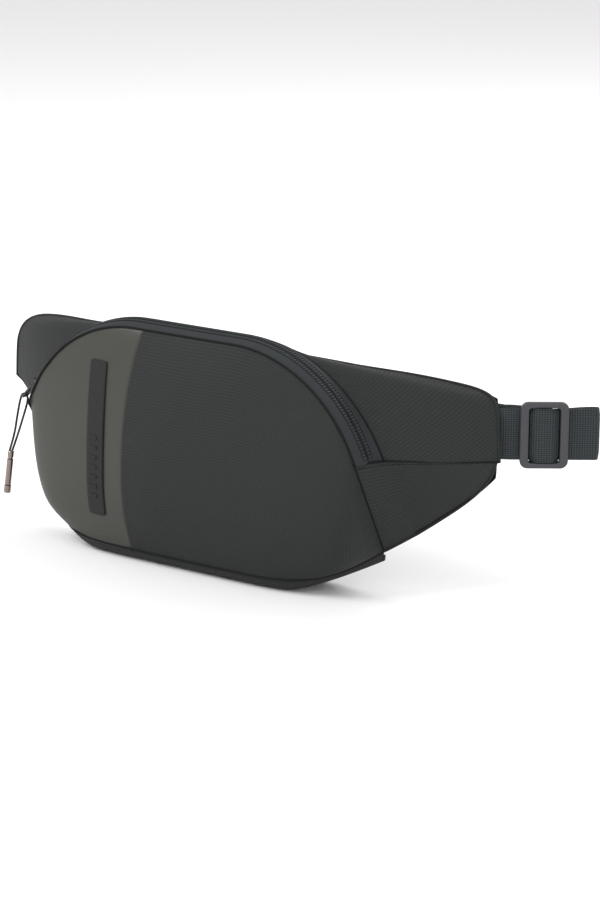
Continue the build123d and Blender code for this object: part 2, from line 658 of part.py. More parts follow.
def back_lining(x, z):
    return x, -2.0, z


keep("slip_pocket", sheet(slip_pocket, -85, 85, 15, 16, 78, 7, LINING, (0, -200, 50)))
keep("back_lining", sheet(back_lining, -100, 100, 9, 14, 124, 7, LINING, (0, -200, 50)))
LEASH_X = 78.0
LEASH_Y = -12.0
keep("key_leash", Pos(LEASH_X, LEASH_Y, 109) * Box(10, 1.2, 30))
eye_frame = Box(13, 3.6, 10) - Pos(0, 0, 0.5) * Box(10, 10, 5.5) - Pos(0, 0, -4) * Cylinder(1.25, 4)
keep("key_swivel_eye", Pos(LEASH_X, LEASH_Y, 90) * eye_frame)
hook_loop = SlotOverall(24, 12, rotation=90) - SlotOverall(18.4, 6.4, rotation=90)
hook_gap = Pos(5, 1) * Rectangle(6, 9.6)
hook_spot = Pos(LEASH_X, LEASH_Y + 1.2, 72) * Rot(90, 0, 0)
hook = hook_spot * extrude(hook_loop - hook_gap, 2.4)
stem = Pos(LEASH_X, LEASH_Y, 86.0) * Cylinder(1.2, 5.0) + Pos(LEASH_X, LEASH_Y, 88.9) * Cylinder(2.0, 1.3)
keep("key_hook", hook + stem)
GATE_X = LEASH_X + 4.6
GATE_Z = 68.9
gate = Pos(GATE_X, LEASH_Y, GATE_Z + 4.3) * Box(1.6, 1.8, 8.6)
keep("key_gate", gate)

print("slider pin", round(PIN_X, 3), ZIP_Y, round(PIN_Z, 3), "cord eye", round(EYE_X, 3), round(EYE_Z, 3))
print("cord points", [tuple(round(v, 2) for v in point) for point in cord_points])
print("tri-glide runs along", ALONG, "glide centre", glide_plane.origin, "puller top", PULLER_TOP)
for name, solid in nodes.items():
    print(name, solid.is_valid, round(solid.volume, 1))

os.makedirs("parts", exist_ok=True)
for name, solid in nodes.items():
    export_step(solid, f"parts/{name}.step")
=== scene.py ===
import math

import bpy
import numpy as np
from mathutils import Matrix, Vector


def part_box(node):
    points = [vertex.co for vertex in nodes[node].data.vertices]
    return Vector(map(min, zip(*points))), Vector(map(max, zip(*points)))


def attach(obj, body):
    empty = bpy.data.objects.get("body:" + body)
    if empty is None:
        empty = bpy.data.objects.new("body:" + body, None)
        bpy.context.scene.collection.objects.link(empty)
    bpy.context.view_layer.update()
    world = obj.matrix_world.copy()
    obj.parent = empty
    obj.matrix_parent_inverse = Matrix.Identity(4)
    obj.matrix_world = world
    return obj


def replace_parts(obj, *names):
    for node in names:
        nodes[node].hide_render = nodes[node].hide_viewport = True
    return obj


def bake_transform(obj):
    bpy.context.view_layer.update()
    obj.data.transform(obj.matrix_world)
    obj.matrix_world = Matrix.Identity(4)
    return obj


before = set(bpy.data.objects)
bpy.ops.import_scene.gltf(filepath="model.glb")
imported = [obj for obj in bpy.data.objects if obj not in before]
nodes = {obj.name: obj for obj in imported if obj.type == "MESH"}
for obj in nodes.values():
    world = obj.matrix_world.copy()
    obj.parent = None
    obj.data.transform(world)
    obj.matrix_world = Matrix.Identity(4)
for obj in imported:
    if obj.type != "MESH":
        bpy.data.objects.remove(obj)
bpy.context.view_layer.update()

# %% [markdown]
# # A waist bag, built around its CAD frame
# The hard parts of the bag (buckle, adjuster, slider, puller) are already right
# in the frame and only need finishes. Everything made of cloth is drawn again
# here: each panel is a formula of two parameters, worked out for a whole grid of
# points at once with numpy, so its seams meet the neighbouring panel exactly.

MM = 0.001                 # every length below is in millimetres, in the CAD frame
BACK_PLANE = 22.25         # the panel formulas put y = 0 in the back panel's plane


def corners(box):
    """Both corners of a box as plain lists."""
    return [list(corner) for corner in box]


def in_metres(points):
    """Points of the panel formulas, in mm, as places in the frame, in metres."""
    return (np.asarray(points, float) + (0, BACK_PLANE, 0)) * MM


def node_box(node):
    """Both corners of a CAD node's box, in the panel formulas' mm."""
    return [np.array(corner) / MM - (0, BACK_PLANE, 0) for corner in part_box(node)]


# %% [markdown]
# A mesh is a list of points and a list of faces. All panels here come from a
# grid of points, so two helpers are enough: one turns point and face arrays into
# an object with its own UV map in metres, the other gives a grid a thickness.
# Cloth with no thickness looks like paper at its edges and fails when it is
# exported, so every panel is a closed shell.


# %% Making a mesh object from arrays
def make_object(name, points, faces, material, uv=None, smooth=True):
    """A mesh object at the origin from points (n, 3) in mm and faces (m, 3 or 4)."""
    mesh = bpy.data.meshes.new(name)
    mesh.from_pydata(in_metres(points).tolist(), [], [list(face) for face in faces])
    if uv is not None:
        layer = mesh.uv_layers.new(name="cloth")
        corner = np.zeros(len(mesh.loops), np.int32)
        mesh.loops.foreach_get("vertex_index", corner)
        layer.data.foreach_set("uv", (np.asarray(uv, float)[corner] * MM).ravel())
    mesh.polygons.foreach_set("use_smooth", np.full(len(mesh.polygons), smooth))
    mesh.materials.append(material)
    mesh.update()
    piece = bpy.data.objects.new(name, mesh)
    bpy.context.scene.collection.objects.link(piece)
    return piece


def grid_faces(rows, columns, wrap=False):
    """Quads of a grid whose points are numbered row by row; wrap joins the last column to the first."""
    i, j = np.meshgrid(np.arange(rows - 1), np.arange(columns if wrap else columns - 1), indexing="ij")
    near, far = i * columns + j, i * columns + (j + 1) % columns
    return np.stack([near, near + columns, far + columns, far], -1).reshape(-1, 4)


# %% Giving a grid its normals, its lengths and a thickness
def grid_normals(grid):
    """Unit normals: the cross product of the grid's two directions, point by point."""
    along = np.gradient(grid, axis=0)
    across = np.gradient(grid, axis=1)
    normal = np.cross(along, across)
    return normal / np.maximum(np.linalg.norm(normal, axis=-1, keepdims=True), 1e-9)


def path_lengths(path):
    """Distance travelled along a line, at each of its points."""
    return np.concatenate([[0], np.cumsum(np.linalg.norm(np.diff(path, axis=0), axis=1))])


def grid_lengths(grid):
    """UV in mm: distance travelled along the middle row and the middle column."""
    rows, columns = grid.shape[:2]
    u, v = path_lengths(grid[:, columns // 2]), path_lengths(grid[rows // 2])
    return np.stack(np.meshgrid(u, v, indexing="ij"), -1)


POUCH_MIDDLE = np.array([0.0, -15.0, 70.0])


def cloth_shell(name, grid, thickness, material, turn=0.0, towards=POUCH_MIDDLE):
    """A closed shell: the grid, its copy moved inwards by the thickness, and a wall round the edge.
    Inwards is the side of the point towards; turn is the angle at which the cloth was cut."""
    rows, columns = grid.shape[:2]
    normal = grid_normals(grid)
    centre = grid[rows // 2, columns // 2]
    if np.dot(normal[rows // 2, columns // 2], np.asarray(towards) - centre) > 0:
        grid, normal = grid[:, ::-1], -normal[:, ::-1]
    cos, sin = math.cos(turn), math.sin(turn)
    uv = grid_lengths(grid) @ np.array([[cos, -sin], [sin, cos]])
    inside = grid - normal * thickness
    count = rows * columns
    outer = grid_faces(rows, columns)
    index = np.arange(count).reshape(rows, columns)
    rim = np.concatenate([index[0, :-1], index[:-1, -1], index[-1, :0:-1], index[:0:-1, 0]])
    walls = np.stack([rim, np.roll(rim, -1), np.roll(rim, -1) + count, rim + count], -1)
    faces = np.concatenate([outer, outer[:, ::-1] + count, walls])
    points = np.concatenate([grid.reshape(-1, 3), inside.reshape(-1, 3)])
    return make_object(name, points, faces, material, np.concatenate([uv.reshape(-1, 2)] * 2))


# %% [markdown]
# Piping, cords and bars are a circle carried along a line. Stitches and zip
# teeth are one small shape repeated along a line. Both need a frame of three
# directions at each point of the line: along it, out of the cloth, and across.


# %% Frames along a line
def line_frames(path, out):
    """Rows of (along, out, across) unit vectors: across = along x out, then out = across x along."""
    along = np.gradient(path, axis=0)
    along /= np.linalg.norm(along, axis=1, keepdims=True)
    across = np.cross(along, np.broadcast_to(out, path.shape))
    across /= np.linalg.norm(across, axis=1, keepdims=True)
    return along, np.cross(across, along), across


def resample(path, out, spacing, first=0.0):
    """Points and out directions at equal steps of arc length along a line."""
    length = path_lengths(path)
    out = np.broadcast_to(out, path.shape)
    at = np.arange(first, length[-1], spacing)
    return tuple(np.stack([np.interp(at, length, a[:, k]) for k in range(3)], 1) for a in (path, out))


def tube(name, path, radius, material, out, sides=10):
    """A closed tube: radius * (cos a, sin a) across the line, with a pole at each end."""
    _, up, across = line_frames(path, out)
    angle = np.linspace(0, 2 * np.pi, sides, endpoint=False)[None, :, None]
    ring = np.cos(angle) * up[:, None] + np.sin(angle) * across[:, None]
    points = path[:, None] + radius * ring
    last, count = (len(path) - 1) * sides, len(path) * sides
    k = np.arange(sides)
    following = (k + 1) % sides
    start = np.stack([following, k, np.full(sides, count)], -1)
    end = np.stack([last + k, last + following, np.full(sides, count + 1)], -1)
    faces = grid_faces(len(path), sides, wrap=True)[:, ::-1].tolist() + start.tolist() + end.tolist()
    uv = np.stack(np.meshgrid(path_lengths(path), angle.ravel() * radius, indexing="ij"), -1)
    ends = np.stack([uv[0, 0], uv[-1, 0]])
    points = np.concatenate([points.reshape(-1, 3), path[:1], path[-1:]])
    return make_object(name, points, faces, material, np.concatenate([uv.reshape(-1, 2), ends]))


# %% One small shape repeated along a line
def bead(length, height, width, sides=6):
    """A rounded bar along its own first axis: four rings, the end ones smaller, and two caps."""
    angle = np.linspace(0, 2 * np.pi, sides, endpoint=False)
    at = np.array([-0.5, -0.32, 0.32, 0.5]) * length
    size = np.array([0.45, 1.0, 1.0, 0.45])
    rings = np.zeros((4, sides, 3))
    rings[..., 0] = at[:, None]
    rings[..., 1] = size[:, None] * np.cos(angle) * height / 2
    rings[..., 2] = size[:, None] * np.sin(angle) * width / 2
    caps = [np.arange(sides)[::-1], np.arange(sides) + 3 * sides]
    return rings.reshape(-1, 3), grid_faces(4, sides, wrap=True)[:, ::-1], caps


def repeat(name, shape, places, out, material, crosswise=False, lift=0.0, aside=0.0):
    """Copies of a bead, each turned to (along, out, across) of the line at its place."""
    points, sides, caps = shape
    direction, up, across = line_frames(places, out)
    centre = places + lift * up + aside * across
    if crosswise:
        direction, across = across, -direction
    copies = centre[:, None] + sum(
        points[None, :, k, None] * axis[:, None] for k, axis in enumerate((direction, up, across))
    )
    shift = np.arange(len(places))[:, None, None] * len(points)
    faces = (sides[None] + shift).reshape(-1, 4).tolist()
    faces += (np.stack(caps)[None] + shift).reshape(-1, len(caps[0])).tolist()
    return make_object(name, copies.reshape(-1, 3), faces, material)


# %% [markdown]
# # Finishes
# The colours are written as the hex values one would pick on a screen. The
# renderer works in linear light, so one function turns them over. Another adds a
# node with its settings and its links, which keeps each material short to read.


# %% Colour and node helpers
def linear(hex_colour):
    """An sRGB hex colour as linear red, green, blue and alpha."""
    srgb = np.array([int(hex_colour[k:k + 2], 16) for k in (1, 3, 5)]) / 255
    light = np.where(srgb <= 0.04045, srgb / 12.92, ((srgb + 0.055) / 1.055) ** 2.4)
    return (*light.tolist(), 1.0)


def add(material, kind, inputs=None, **settings):
    """Adds a node; inputs maps a socket's name or number to a value or to another node's output."""
    node = material.node_tree.nodes.new("ShaderNode" + kind)
    for key, value in settings.items():
        setattr(node, key, value)
    for key, value in (inputs or {}).items():
        if isinstance(value, bpy.types.NodeSocket):
            material.node_tree.links.new(value, node.inputs[key])
        else:
            node.inputs[key].default_value = value
    return node


def surface(name, colour, roughness, **values):
    """A material with a Principled shader and its plain values; returns it and the shader."""
    material = bpy.data.materials.new(name)
    material.use_nodes = True
    shader = material.node_tree.nodes["Principled BSDF"]
    shader.inputs["Base Color"].default_value = linear(colour)
    shader.inputs["Roughness"].default_value = roughness
    for key, value in values.items():
        shader.inputs[key.replace("_", " ")].default_value = value
    return material, shader


# %% Threads: the pattern shared by the woven finishes
def ridge(material, coordinate, pitch, sharp):
    """Ridges at an even pitch in mm: |sin(pi x / pitch)| raised to a power."""
    phase = add(material, "Math", {0: coordinate, 1: math.pi / (pitch * MM)}, operation="MULTIPLY")
    wave = add(material, "Math", {0: phase.outputs[0]}, operation="SINE")
    height = add(material, "Math", {0: wave.outputs[0]}, operation="ABSOLUTE")
    return add(material, "Math", {0: height.outputs[0], 1: sharp}, operation="POWER").outputs[0]


def threads(material, shader, along, across, depth, dark, light, sharp=3.0, join="MAXIMUM", soil=0.12):
    """Two sets of ridges as relief and colour, over soft uneven patches of wear."""
    uv = add(material, "UVMap", uv_map="cloth")
    axes = add(material, "SeparateXYZ", {0: uv.outputs[0]})
    warp = ridge(material, axes.outputs[0], along, sharp)
    weft = ridge(material, axes.outputs[1], across, sharp)
    weave = add(material, "Math", {0: warp, 1: weft}, operation=join)
    place = add(material, "TexCoord")
    patches = add(material, "TexNoise", {"Vector": place.outputs["Object"], "Scale": 26.0, "Detail": 3.0})
    fuzz = add(material, "TexNoise", {"Vector": place.outputs["Object"], "Scale": 2600.0, "Detail": 2.0})
    rough = add(material, "Math", {0: fuzz.outputs[0], 1: 0.55, 2: weave.outputs[0]},
                operation="MULTIPLY_ADD")
    tone = add(material, "Math", {0: patches.outputs[0], 1: soil, 2: weave.outputs[0]},
               operation="MULTIPLY_ADD")
    colour = add(material, "ValToRGB", {0: tone.outputs[0]})
    colour.color_ramp.elements[0].color = linear(dark)
    colour.color_ramp.elements[1].color = linear(light)
    bump = add(material, "Bump", {"Height": rough.outputs[0], "Distance": depth * MM, "Strength": 0.8})
    material.node_tree.links.new(colour.outputs[0], shader.inputs["Base Color"])
    material.node_tree.links.new(bump.outputs[0], shader.inputs["Normal"])
    return material


# %% [markdown]
# ## Woven cloths
# Ribstop is a plain polyester weave with a thicker thread every few picks, which
# makes a fine square grid. Real ribs stand about 1 mm apart; they are drawn
# 1.6 mm apart so that they still show. Black cloth of this kind is matt with a
# faint sheen at grazing angles.

# %% Ribstop, coated cloth, lining and mesh
# Black and matt, with a square grid that shows where the light grazes it.
ribstop, shader = surface("ribstop polyester", "#1f2020", 0.7, Specular_IOR_Level=0.22)
threads(ribstop, shader, 1.6, 1.6, 0.12, "#1b1c1c", "#292a2a", sharp=5.0, soil=0.3)

# A polyurethane coat fills the weave: smoother, slightly olive, with a satin gloss.
coated, shader = surface("coated polyester", "#2f2f2b", 0.42, Specular_IOR_Level=0.4)
threads(coated, shader, 1.1, 1.1, 0.03, "#2a2a26", "#33332d", sharp=2.0, soil=0.5)

# A thin grey taffeta: flat and fine, lighter than the outside so that things are found in it.
lining, shader = surface("plain woven lining", "#45494b", 0.8, Specular_IOR_Level=0.2)
threads(lining, shader, 0.8, 0.8, 0.05, "#3c4042", "#4d5153", sharp=2.0)

# Knitted in open cells: dark dots in rows, deep, and with no gloss at all.
air_mesh, shader = surface("knitted air mesh", "#1a1b1c", 0.85, Specular_IOR_Level=0.2)
threads(air_mesh, shader, 2.4, 2.0, 0.5, "#090909", "#242526", sharp=1.5, join="MULTIPLY")

# Cloth stretched round a cord: the darkest line on the bag. This dark cloth also draws the seam lines, where
# its darkness is painted seam shade.
binding_and_seam_shade, shader = surface("folded cloth piping and painted seam shade", "#0f1010", 0.78, Specular_IOR_Level=0.15)
threads(binding_and_seam_shade, shader, 1.2, 1.2, 0.04, "#0d0e0e", "#151616")

# %% [markdown]
# Narrow goods are woven thicker than cloth, so their threads show as ribs. They
# share the thread pattern and differ in its pitches.

# %% Zip tape, coil, thread and webbing
# Fine cross ribs, slightly bluer and lighter than the ribstop beside it.
zip_tape, shader = surface("woven polyester zip tape", "#292c2e", 0.8, Specular_IOR_Level=0.2)
threads(zip_tape, shader, 1.0, 0.9, 0.08, "#1f2123", "#2f3234", sharp=1.5, join="ADD")

# Smooth drawn nylon, with a small soft highlight on every turn.
coil, _ = surface("drawn nylon monofilament", "#121314", 0.5, Specular_IOR_Level=0.3)
# Sewing threads: the ladder's is the lightest thing on the zip, the rest nearly vanish.
ladder_thread, _ = surface("twisted ladder thread", "#35393b", 0.65, Specular_IOR_Level=0.3)
thread, _ = surface("spun polyester sewing thread", "#1a1c1d", 0.7, Specular_IOR_Level=0.2)

# Belt webbing has heavy ribs across it and short floats of lighter yarn between them.
webbing, shader = surface("woven polypropylene webbing", "#23282a", 0.6, Specular_IOR_Level=0.3)
threads(webbing, shader, 1.5, 1.25, 0.3, "#0b0d0e", "#363e41", sharp=1.1, join="MULTIPLY", soil=0.1)

# A braid's crossing strands make small facets, a little glossier than cloth.
braid, shader = surface("braided polyester cord", "#17181a", 0.65)
threads(braid, shader, 0.7, 0.7, 0.05, "#101112", "#222426", sharp=1.5, join="MULTIPLY")

# %% [markdown]
# These parts are small, so one colour and one roughness each are enough.

# %% Plastics and metals
# Acetal comes out of the mould with a satin face and broad, soft highlights.
moulded, _ = surface("moulded acetal", "#333438", 0.36, Specular_IOR_Level=0.45)
# Soft plastic welded to the cloth: matt, and a little warmer than black.
label_rubber, _ = surface("moulded soft plastic", "#1d1d1e", 0.6, Specular_IOR_Level=0.25)
# Die-cast zinc under black paint, whose clear coat gives a thin bright edge.
painted_zinc, _ = surface("black painted zinc", "#101112", 0.34, Coat_Weight=0.2)
# Turned and plated metal: the only true reflections on the bag, warm and dark.
gunmetal, _ = surface("turned brass, gunmetal plated", "#8a7d77", 0.22, Metallic=1.0)
print("finishes:", len(bpy.data.materials))

# %% [markdown]
# # The panels' formulas
# The zip seam is an arch: a level middle and two corner arcs. The front panel
# runs from the base seam up to that arch and swells forward, like a well filled
# pouch. The wings run from the arch to the belt. Every seam is one curve that
# both its panels use, so no gap opens between them.

# %% The arch and the front panel
ARCH_X, ARCH_Z, ARCH_R = 37.0, 49.5, 93.0       # corner arcs of the front seam
ZIP_END_Z = 84.0                                # the zip and the wing seam end here
ZIP_Y, ZIP_R = -29.5, 96.5                      # centre line of the zip
FRONT_SEAM_Y, REAR_SEAM_Y = -40.0, -19.5
CORNER = np.array([120.0, -3.0, 25.0])          # lower corner: front, wing, base and back
BASE_SEAM_Y, BASE_SEAM_Z = -45.0, 8.0
TIP_X, TIP_Y, BACK_EDGE_Z = 185.0, 19.0, 133.5


def arch(s, r):
    """x and z of an arch of radius r: level for |s| below its flat share, then a circle's arc."""
    whole = math.pi / 2 - math.asin((ZIP_END_Z - ARCH_Z) / ARCH_R)
    flat = ARCH_X / (ARCH_X + ARCH_R * whole)
    d = np.abs(s)
    end = np.arcsin((ZIP_END_Z - ARCH_Z) / r)
    angle = np.pi / 2 - np.clip((d - flat) / (1 - flat), 0, None) * (np.pi / 2 - end)
    x = np.where(d <= flat, ARCH_X * d / flat, ARCH_X + r * np.cos(angle))
    z = np.where(d <= flat, ARCH_Z + r, ARCH_Z + r * np.sin(angle))
    return np.sign(s) * x, z


def base_seam(s):
    """y and z of the base seam: nearly straight, then turned up and back to the corner as powers of |s|."""
    d = np.abs(s)
    return (BASE_SEAM_Y + (CORNER[1] - BASE_SEAM_Y) * d ** 6,
            BASE_SEAM_Z + (CORNER[2] - BASE_SEAM_Z) * d ** 7)


def front_at(s, t):
    """Front panel from base seam (t 0) to zip seam (t 1): a straight line between the seams,
    pushed forward to a gentle crown by sqrt(1 - |s|^12) sqrt(1 - |2t - 1|^10)."""
    s, t = np.broadcast_arrays(np.asarray(s, float), np.asarray(t, float))
    top_x, top_z = arch(s, ARCH_R)
    low_y, low_z = base_seam(s)
    x = CORNER[0] * s + (top_x - CORNER[0] * s) * t
    y = low_y + (FRONT_SEAM_Y + 2 * s * s - low_y) * t
    z = low_z + (top_z - low_z) * t
    crown = 9 * (np.clip(z - 50, 0, None) / 92) ** 2 + 7 * (np.clip(50 - z, 0, None) / 42) ** 2
    forward = -52 + crown + 12 * (x / 124) ** 2
    edge = np.clip(1 - np.abs(s) ** 12, 0, None) * np.clip(1 - np.abs(2 * t - 1) ** 10, 0, None)
    side = 6 * s ** 4 * np.clip(1 - np.abs(s) ** 20, 0, None) * np.sin(np.pi * t).clip(0) ** 0.7
    return np.stack([x + np.sign(s) * side, y + np.sqrt(edge) * (forward - y), z], -1)


def front(q, p):
    """The same panel with its rows and columns drawn together towards the seams."""
    return front_at(np.sin(np.pi * q / 2), (1 - np.cos(np.pi * p)) / 2)


def steps(first, last, count):
    """Two arrays for a grid: a column of steps in the first direction and a row in the second."""
    return np.linspace(first[0], first[1], count[0])[:, None], np.linspace(last[0], last[1], count[1])[None]


# %% [markdown]
# The zip lies between the front and the wings, on a wider arch than the front's.
# The outlines are drawn once here, and the wings, back and edge seams follow them.

# %% The zip band
def zip_band(s, w):
    """Zip tape: an arch whose radius dips towards the front seam and sinks to the wing seam."""
    s, w = np.broadcast_arrays(np.asarray(s, float), np.asarray(w, float))
    seam_y = FRONT_SEAM_Y + 2 * s * s
    y = seam_y + w * (REAR_SEAM_Y - seam_y)
    r = ZIP_R + 0.1 * (y - ZIP_Y) - 2.6 * (np.clip(-33 - y, 0, None) / 6) ** 1.5
    r = r + (94 + 5.5 * np.abs(s) ** 3 - ZIP_R - 0.7) * (np.clip(y + 25.5, 0, None) / 6) ** 1.5
    x, z = arch(s, r)
    return np.stack([x, y, z], -1)


# %% The edges of the wings and of the back
def back_y(x):
    """The wings' rear face: it curves back from 95 mm out, towards the wearer."""
    return 28.8 * (np.clip(np.abs(x) - 95, 0, None) / 83) ** 1.6


def soft_ramp(u, soft):
    """Zero below 0 and u above it, with a rounded turn: (u + sqrt(u^2 + soft^2)) / 2."""
    return (u + np.sqrt(u * u + soft * soft)) / 2


def top_edge_z(x):
    """Height of the top edge: level in the middle, then falling 1 in 5 towards each tip."""
    return BACK_EDGE_Z - 0.2 * soft_ramp(np.abs(x) - 135, 30)


def low_rise(h):
    """Height share of a wing's lower edge: a nearly straight diagonal that steepens at the tip."""
    return 0.8 * h ** 1.08 + 0.2 * h ** 7


def low_edge(h):
    """Lower edge of a wing, from the lower corner (h 0) to the tip (h 1)."""
    x = CORNER[0] + (TIP_X - 3 - CORNER[0]) * h
    z = CORNER[2] + (ZIP_END_Z - CORNER[2]) * low_rise(h)
    y = CORNER[1] + (back_y(x) - 1 - CORNER[1]) * np.minimum(1, 4 * h)
    return x, y + (TIP_Y - y) * h ** 6, z


def upper_edge(e):
    """Top edge of a wing from the middle of the bag (e 0), then round its corner and down its tip."""
    corner = 0.86
    down = soft_ramp(e - corner, 0.05)
    x = TIP_X * (e - down) / corner
    z = top_edge_z(x) - (top_edge_z(TIP_X) - ZIP_END_Z) * down / (1 - corner)
    turn = np.clip((e - 0.72) / 0.2, 0, 1)
    y = back_y(x) - 1
    return x, y + (TIP_Y - y) * turn * turn * (3 - 2 * turn), z


# %% [markdown]
# A wing is two panels that meet in a level seam. Each is stretched between two of
# the edges above and crowned a little, because stuffed cloth never lies flat.

# %% The wing panels' formulas
def wing_upper(s, w):
    """Upper wing panel, from the zip's rear seam (w 0) to the wing's edge (w 1)."""
    s, w = np.broadcast_arrays(np.asarray(s, float), np.asarray(w, float))
    x0, y0, z0 = np.moveaxis(zip_band(s, np.ones_like(s)), -1, 0)
    x1, y1, z1 = upper_edge(1.075 * s - 0.375 * soft_ramp(s - 0.8, 0.08))
    plane_y = y0 + (TIP_Y - y0) * (x1 - x0) / (TIP_X - x0)
    wing = np.clip((s - 0.3) / 0.35, 0, 1)
    rolled = y0 + (plane_y - y0) * w + (y1 - plane_y) * w ** 8
    straight = y0 + (y1 - y0) * w
    y = straight + (rolled - straight) * wing * wing * (3 - 2 * wing) - 0.8 * np.sin(np.pi * w)
    return np.stack([x0 + (x1 - x0) * w, y, z0 + (z1 - z0) * w], -1)


def bent(h, bend, first, middle, last):
    """A line from first to last that turns softly at middle, where h equals bend."""
    slope, after = (middle - first) / bend, (last - middle) / (1 - bend)
    return first + slope * h + (after - slope) * (soft_ramp(h - bend, 0.05) - soft_ramp(-bend, 0.05))


def wing_lower(h, v):
    """Lower wing panel, from the wing seam (v 0) to the lower edge (v 1)."""
    h, v = np.broadcast_arrays(np.asarray(h, float), np.asarray(v, float))
    arch_end = float(arch(np.array(1.0), ARCH_R)[0])
    rear_end = zip_band(1.0, 1.0)
    x0 = bent(h, 0.26, arch_end, rear_end[0], TIP_X)
    y0 = bent(h, 0.26, FRONT_SEAM_Y + 2, rear_end[1], TIP_Y)
    x1, y1, z1 = low_edge(h)
    crown = 1.5 * np.sin(np.pi * v) * np.sin(np.pi * h)
    return np.stack([x0 + (x1 - x0) * v, y0 + (y1 - y0) * v - crown, ZIP_END_Z + (z1 - ZIP_END_Z) * v], -1)


# %% [markdown]
# Real cloth is never as fair as a formula. It puckers along a sewn seam, because
# the thread pulls it in, and it rolls gently in between. Both are small shifts
# along the normal: short waves that die out within a few millimetres of a seam,
# and long ones that fade to nothing at it, so that neighbours still meet.


# %% Puckers and rolls
def settle(grid, roll=0.5, pucker=0.22, reach=7.0, seed=0.0):
    """Moves a grid along its normals by long rolls and by short puckers near its border."""
    rows, columns = grid.shape[:2]
    lengths = grid_lengths(grid)
    u, v = lengths[..., 0], lengths[..., 1]
    edge = np.minimum(np.minimum(u, u.max() - u), np.minimum(v, v.max() - v))
    fade = 1 - np.exp(-(edge / 14) ** 2)
    rolls = np.sin(u / 19 + 1.3 * np.sin(v / 27 + seed)) + 0.7 * np.sin(v / 15 + u / 33 + 2 * seed)
    ripples = np.sin(u / 1.9 + seed) * np.sin(v / 2.3 + 1.1 + seed) + 0.6 * np.sin((u + v) / 2.9)
    shift = roll * fade * rolls + pucker * ripples * np.exp(-edge / reach) * np.clip(edge / 1.5, 0, 1)
    return grid + grid_normals(grid) * shift[..., None]


# %% [markdown]
# The front is one panel sewn from two cloths. It opens as a flap.

# %% The front: ribstop on one side, coated cloth on the other
def joint_q(p):
    """Where the two cloths meet: s bows from -0.308 at the base to -0.196 at the zip, as t^2.5."""
    t = (1 - np.cos(np.pi * p)) / 2
    return 2 / np.pi * np.arcsin(-0.308 + 0.112 * t ** 2.5)


def between(first, last, count):
    """Grid parameters: q runs from first(p) to last(p) while p runs from base seam to zip seam."""
    share, p = steps((0, 1), (0, 1), count)
    return first(p) + (last(p) - first(p)) * share, p


FABRIC = 1.2


def on_flap(piece, slot, *replaced):
    """Cloth that crosses the fold: its placement is baked into its mesh, and the frame's parts that it
    replaces are hidden.
    """
    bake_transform(piece)
    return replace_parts(piece, *replaced)


def on_bag(piece, slot, *replaced):
    """A piece that stays with the bag."""
    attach(piece, "bag")
    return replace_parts(piece, *replaced)


ribstop_grid = settle(front(*between(joint_q, np.ones_like, (150, 110))), roll=0.6, pucker=0.16)
coated_grid = settle(front(*between(lambda p: -np.ones_like(p), joint_q, (90, 110))), 0.35, 0.08, seed=2.0)
on_flap(cloth_shell("front_ribstop", ribstop_grid, FABRIC, ribstop), "ribstop",
        "front_panel_lower", "front_panel_upper")
on_flap(cloth_shell("front_coated", coated_grid, FABRIC, coated), "coated",
        "coated_panel_lower", "coated_panel_upper")
print("front grids", ribstop_grid.shape, coated_grid.shape)

# %% [markdown]
# The label is a moulded strip welded to the coated cloth, with its corners
# rounded. Raised bars stand where a maker would put a name. Its shape follows
# the panel: the grid's points are put on the panel by a few corrections of
# (s, t) until the panel's x and z are the wanted ones.


# %% The label strip and its bars
def on_front(x, z, lift):
    """Points of the front panel at given x and z: (s, t) is corrected by the error until it vanishes."""
    x, z = np.broadcast_arrays(np.asarray(x, float), np.asarray(z, float))
    s, t = x / 125, (z - 10) / 130
    for _ in range(40):
        place = front_at(s, t)
        s = s + (x - place[..., 0]) / 140
        t = t + (z - place[..., 2]) / 150
    return np.stack([x, front_at(s, t)[..., 1] - lift, z], -1)


LABEL_X, LABEL_HALF, LABEL_LOW, LABEL_HIGH = -61.0, 6.75, 26.0, 121.0
BARS, BAR_LOW, BAR_PITCH, BAR_HEIGHT = 7, 36.9, 6.0, 2.2


def rounded_patch(x, half, low, high, corner, lift, count):
    """A strip of the front with rounded ends: its half width shrinks as sqrt(1 - d^2) in the
    last stretch, which is as long as the corner's radius."""
    across, up = steps((-1, 1), (0, 1), count)
    up = (1 - np.cos(np.pi * up)) / 2
    z = low + (high - low) * up
    into = np.clip(1 - np.minimum(z - low, high - z) / corner, 0, 1)
    width = half - corner * (1 - np.sqrt(np.clip(1 - into ** 2, 0, 1)))
    return on_front(x + across * width, z, lift)


label = rounded_patch(LABEL_X, LABEL_HALF, LABEL_LOW, LABEL_HIGH, 1.8, 0.75, (13, 70))
on_flap(cloth_shell("label_strip", label, 0.9, label_rubber), "label",
        "label_strip_lower", "label_strip_upper")
bars = []
for number in range(BARS):
    low = BAR_LOW + BAR_PITCH * number
    bar = rounded_patch(LABEL_X - 1.7, 3.5, low, low + BAR_HEIGHT, 1.05, 1.15, (9, 12))
    bars.append(cloth_shell(f"label_bar_{number}", bar, 0.8, label_rubber))
for bar in bars:
    on_flap(bar, "label")
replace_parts(bars[0], "label_bars")
print("label", LABEL_HIGH - LABEL_LOW, "mm tall with", len(bars), "bars")
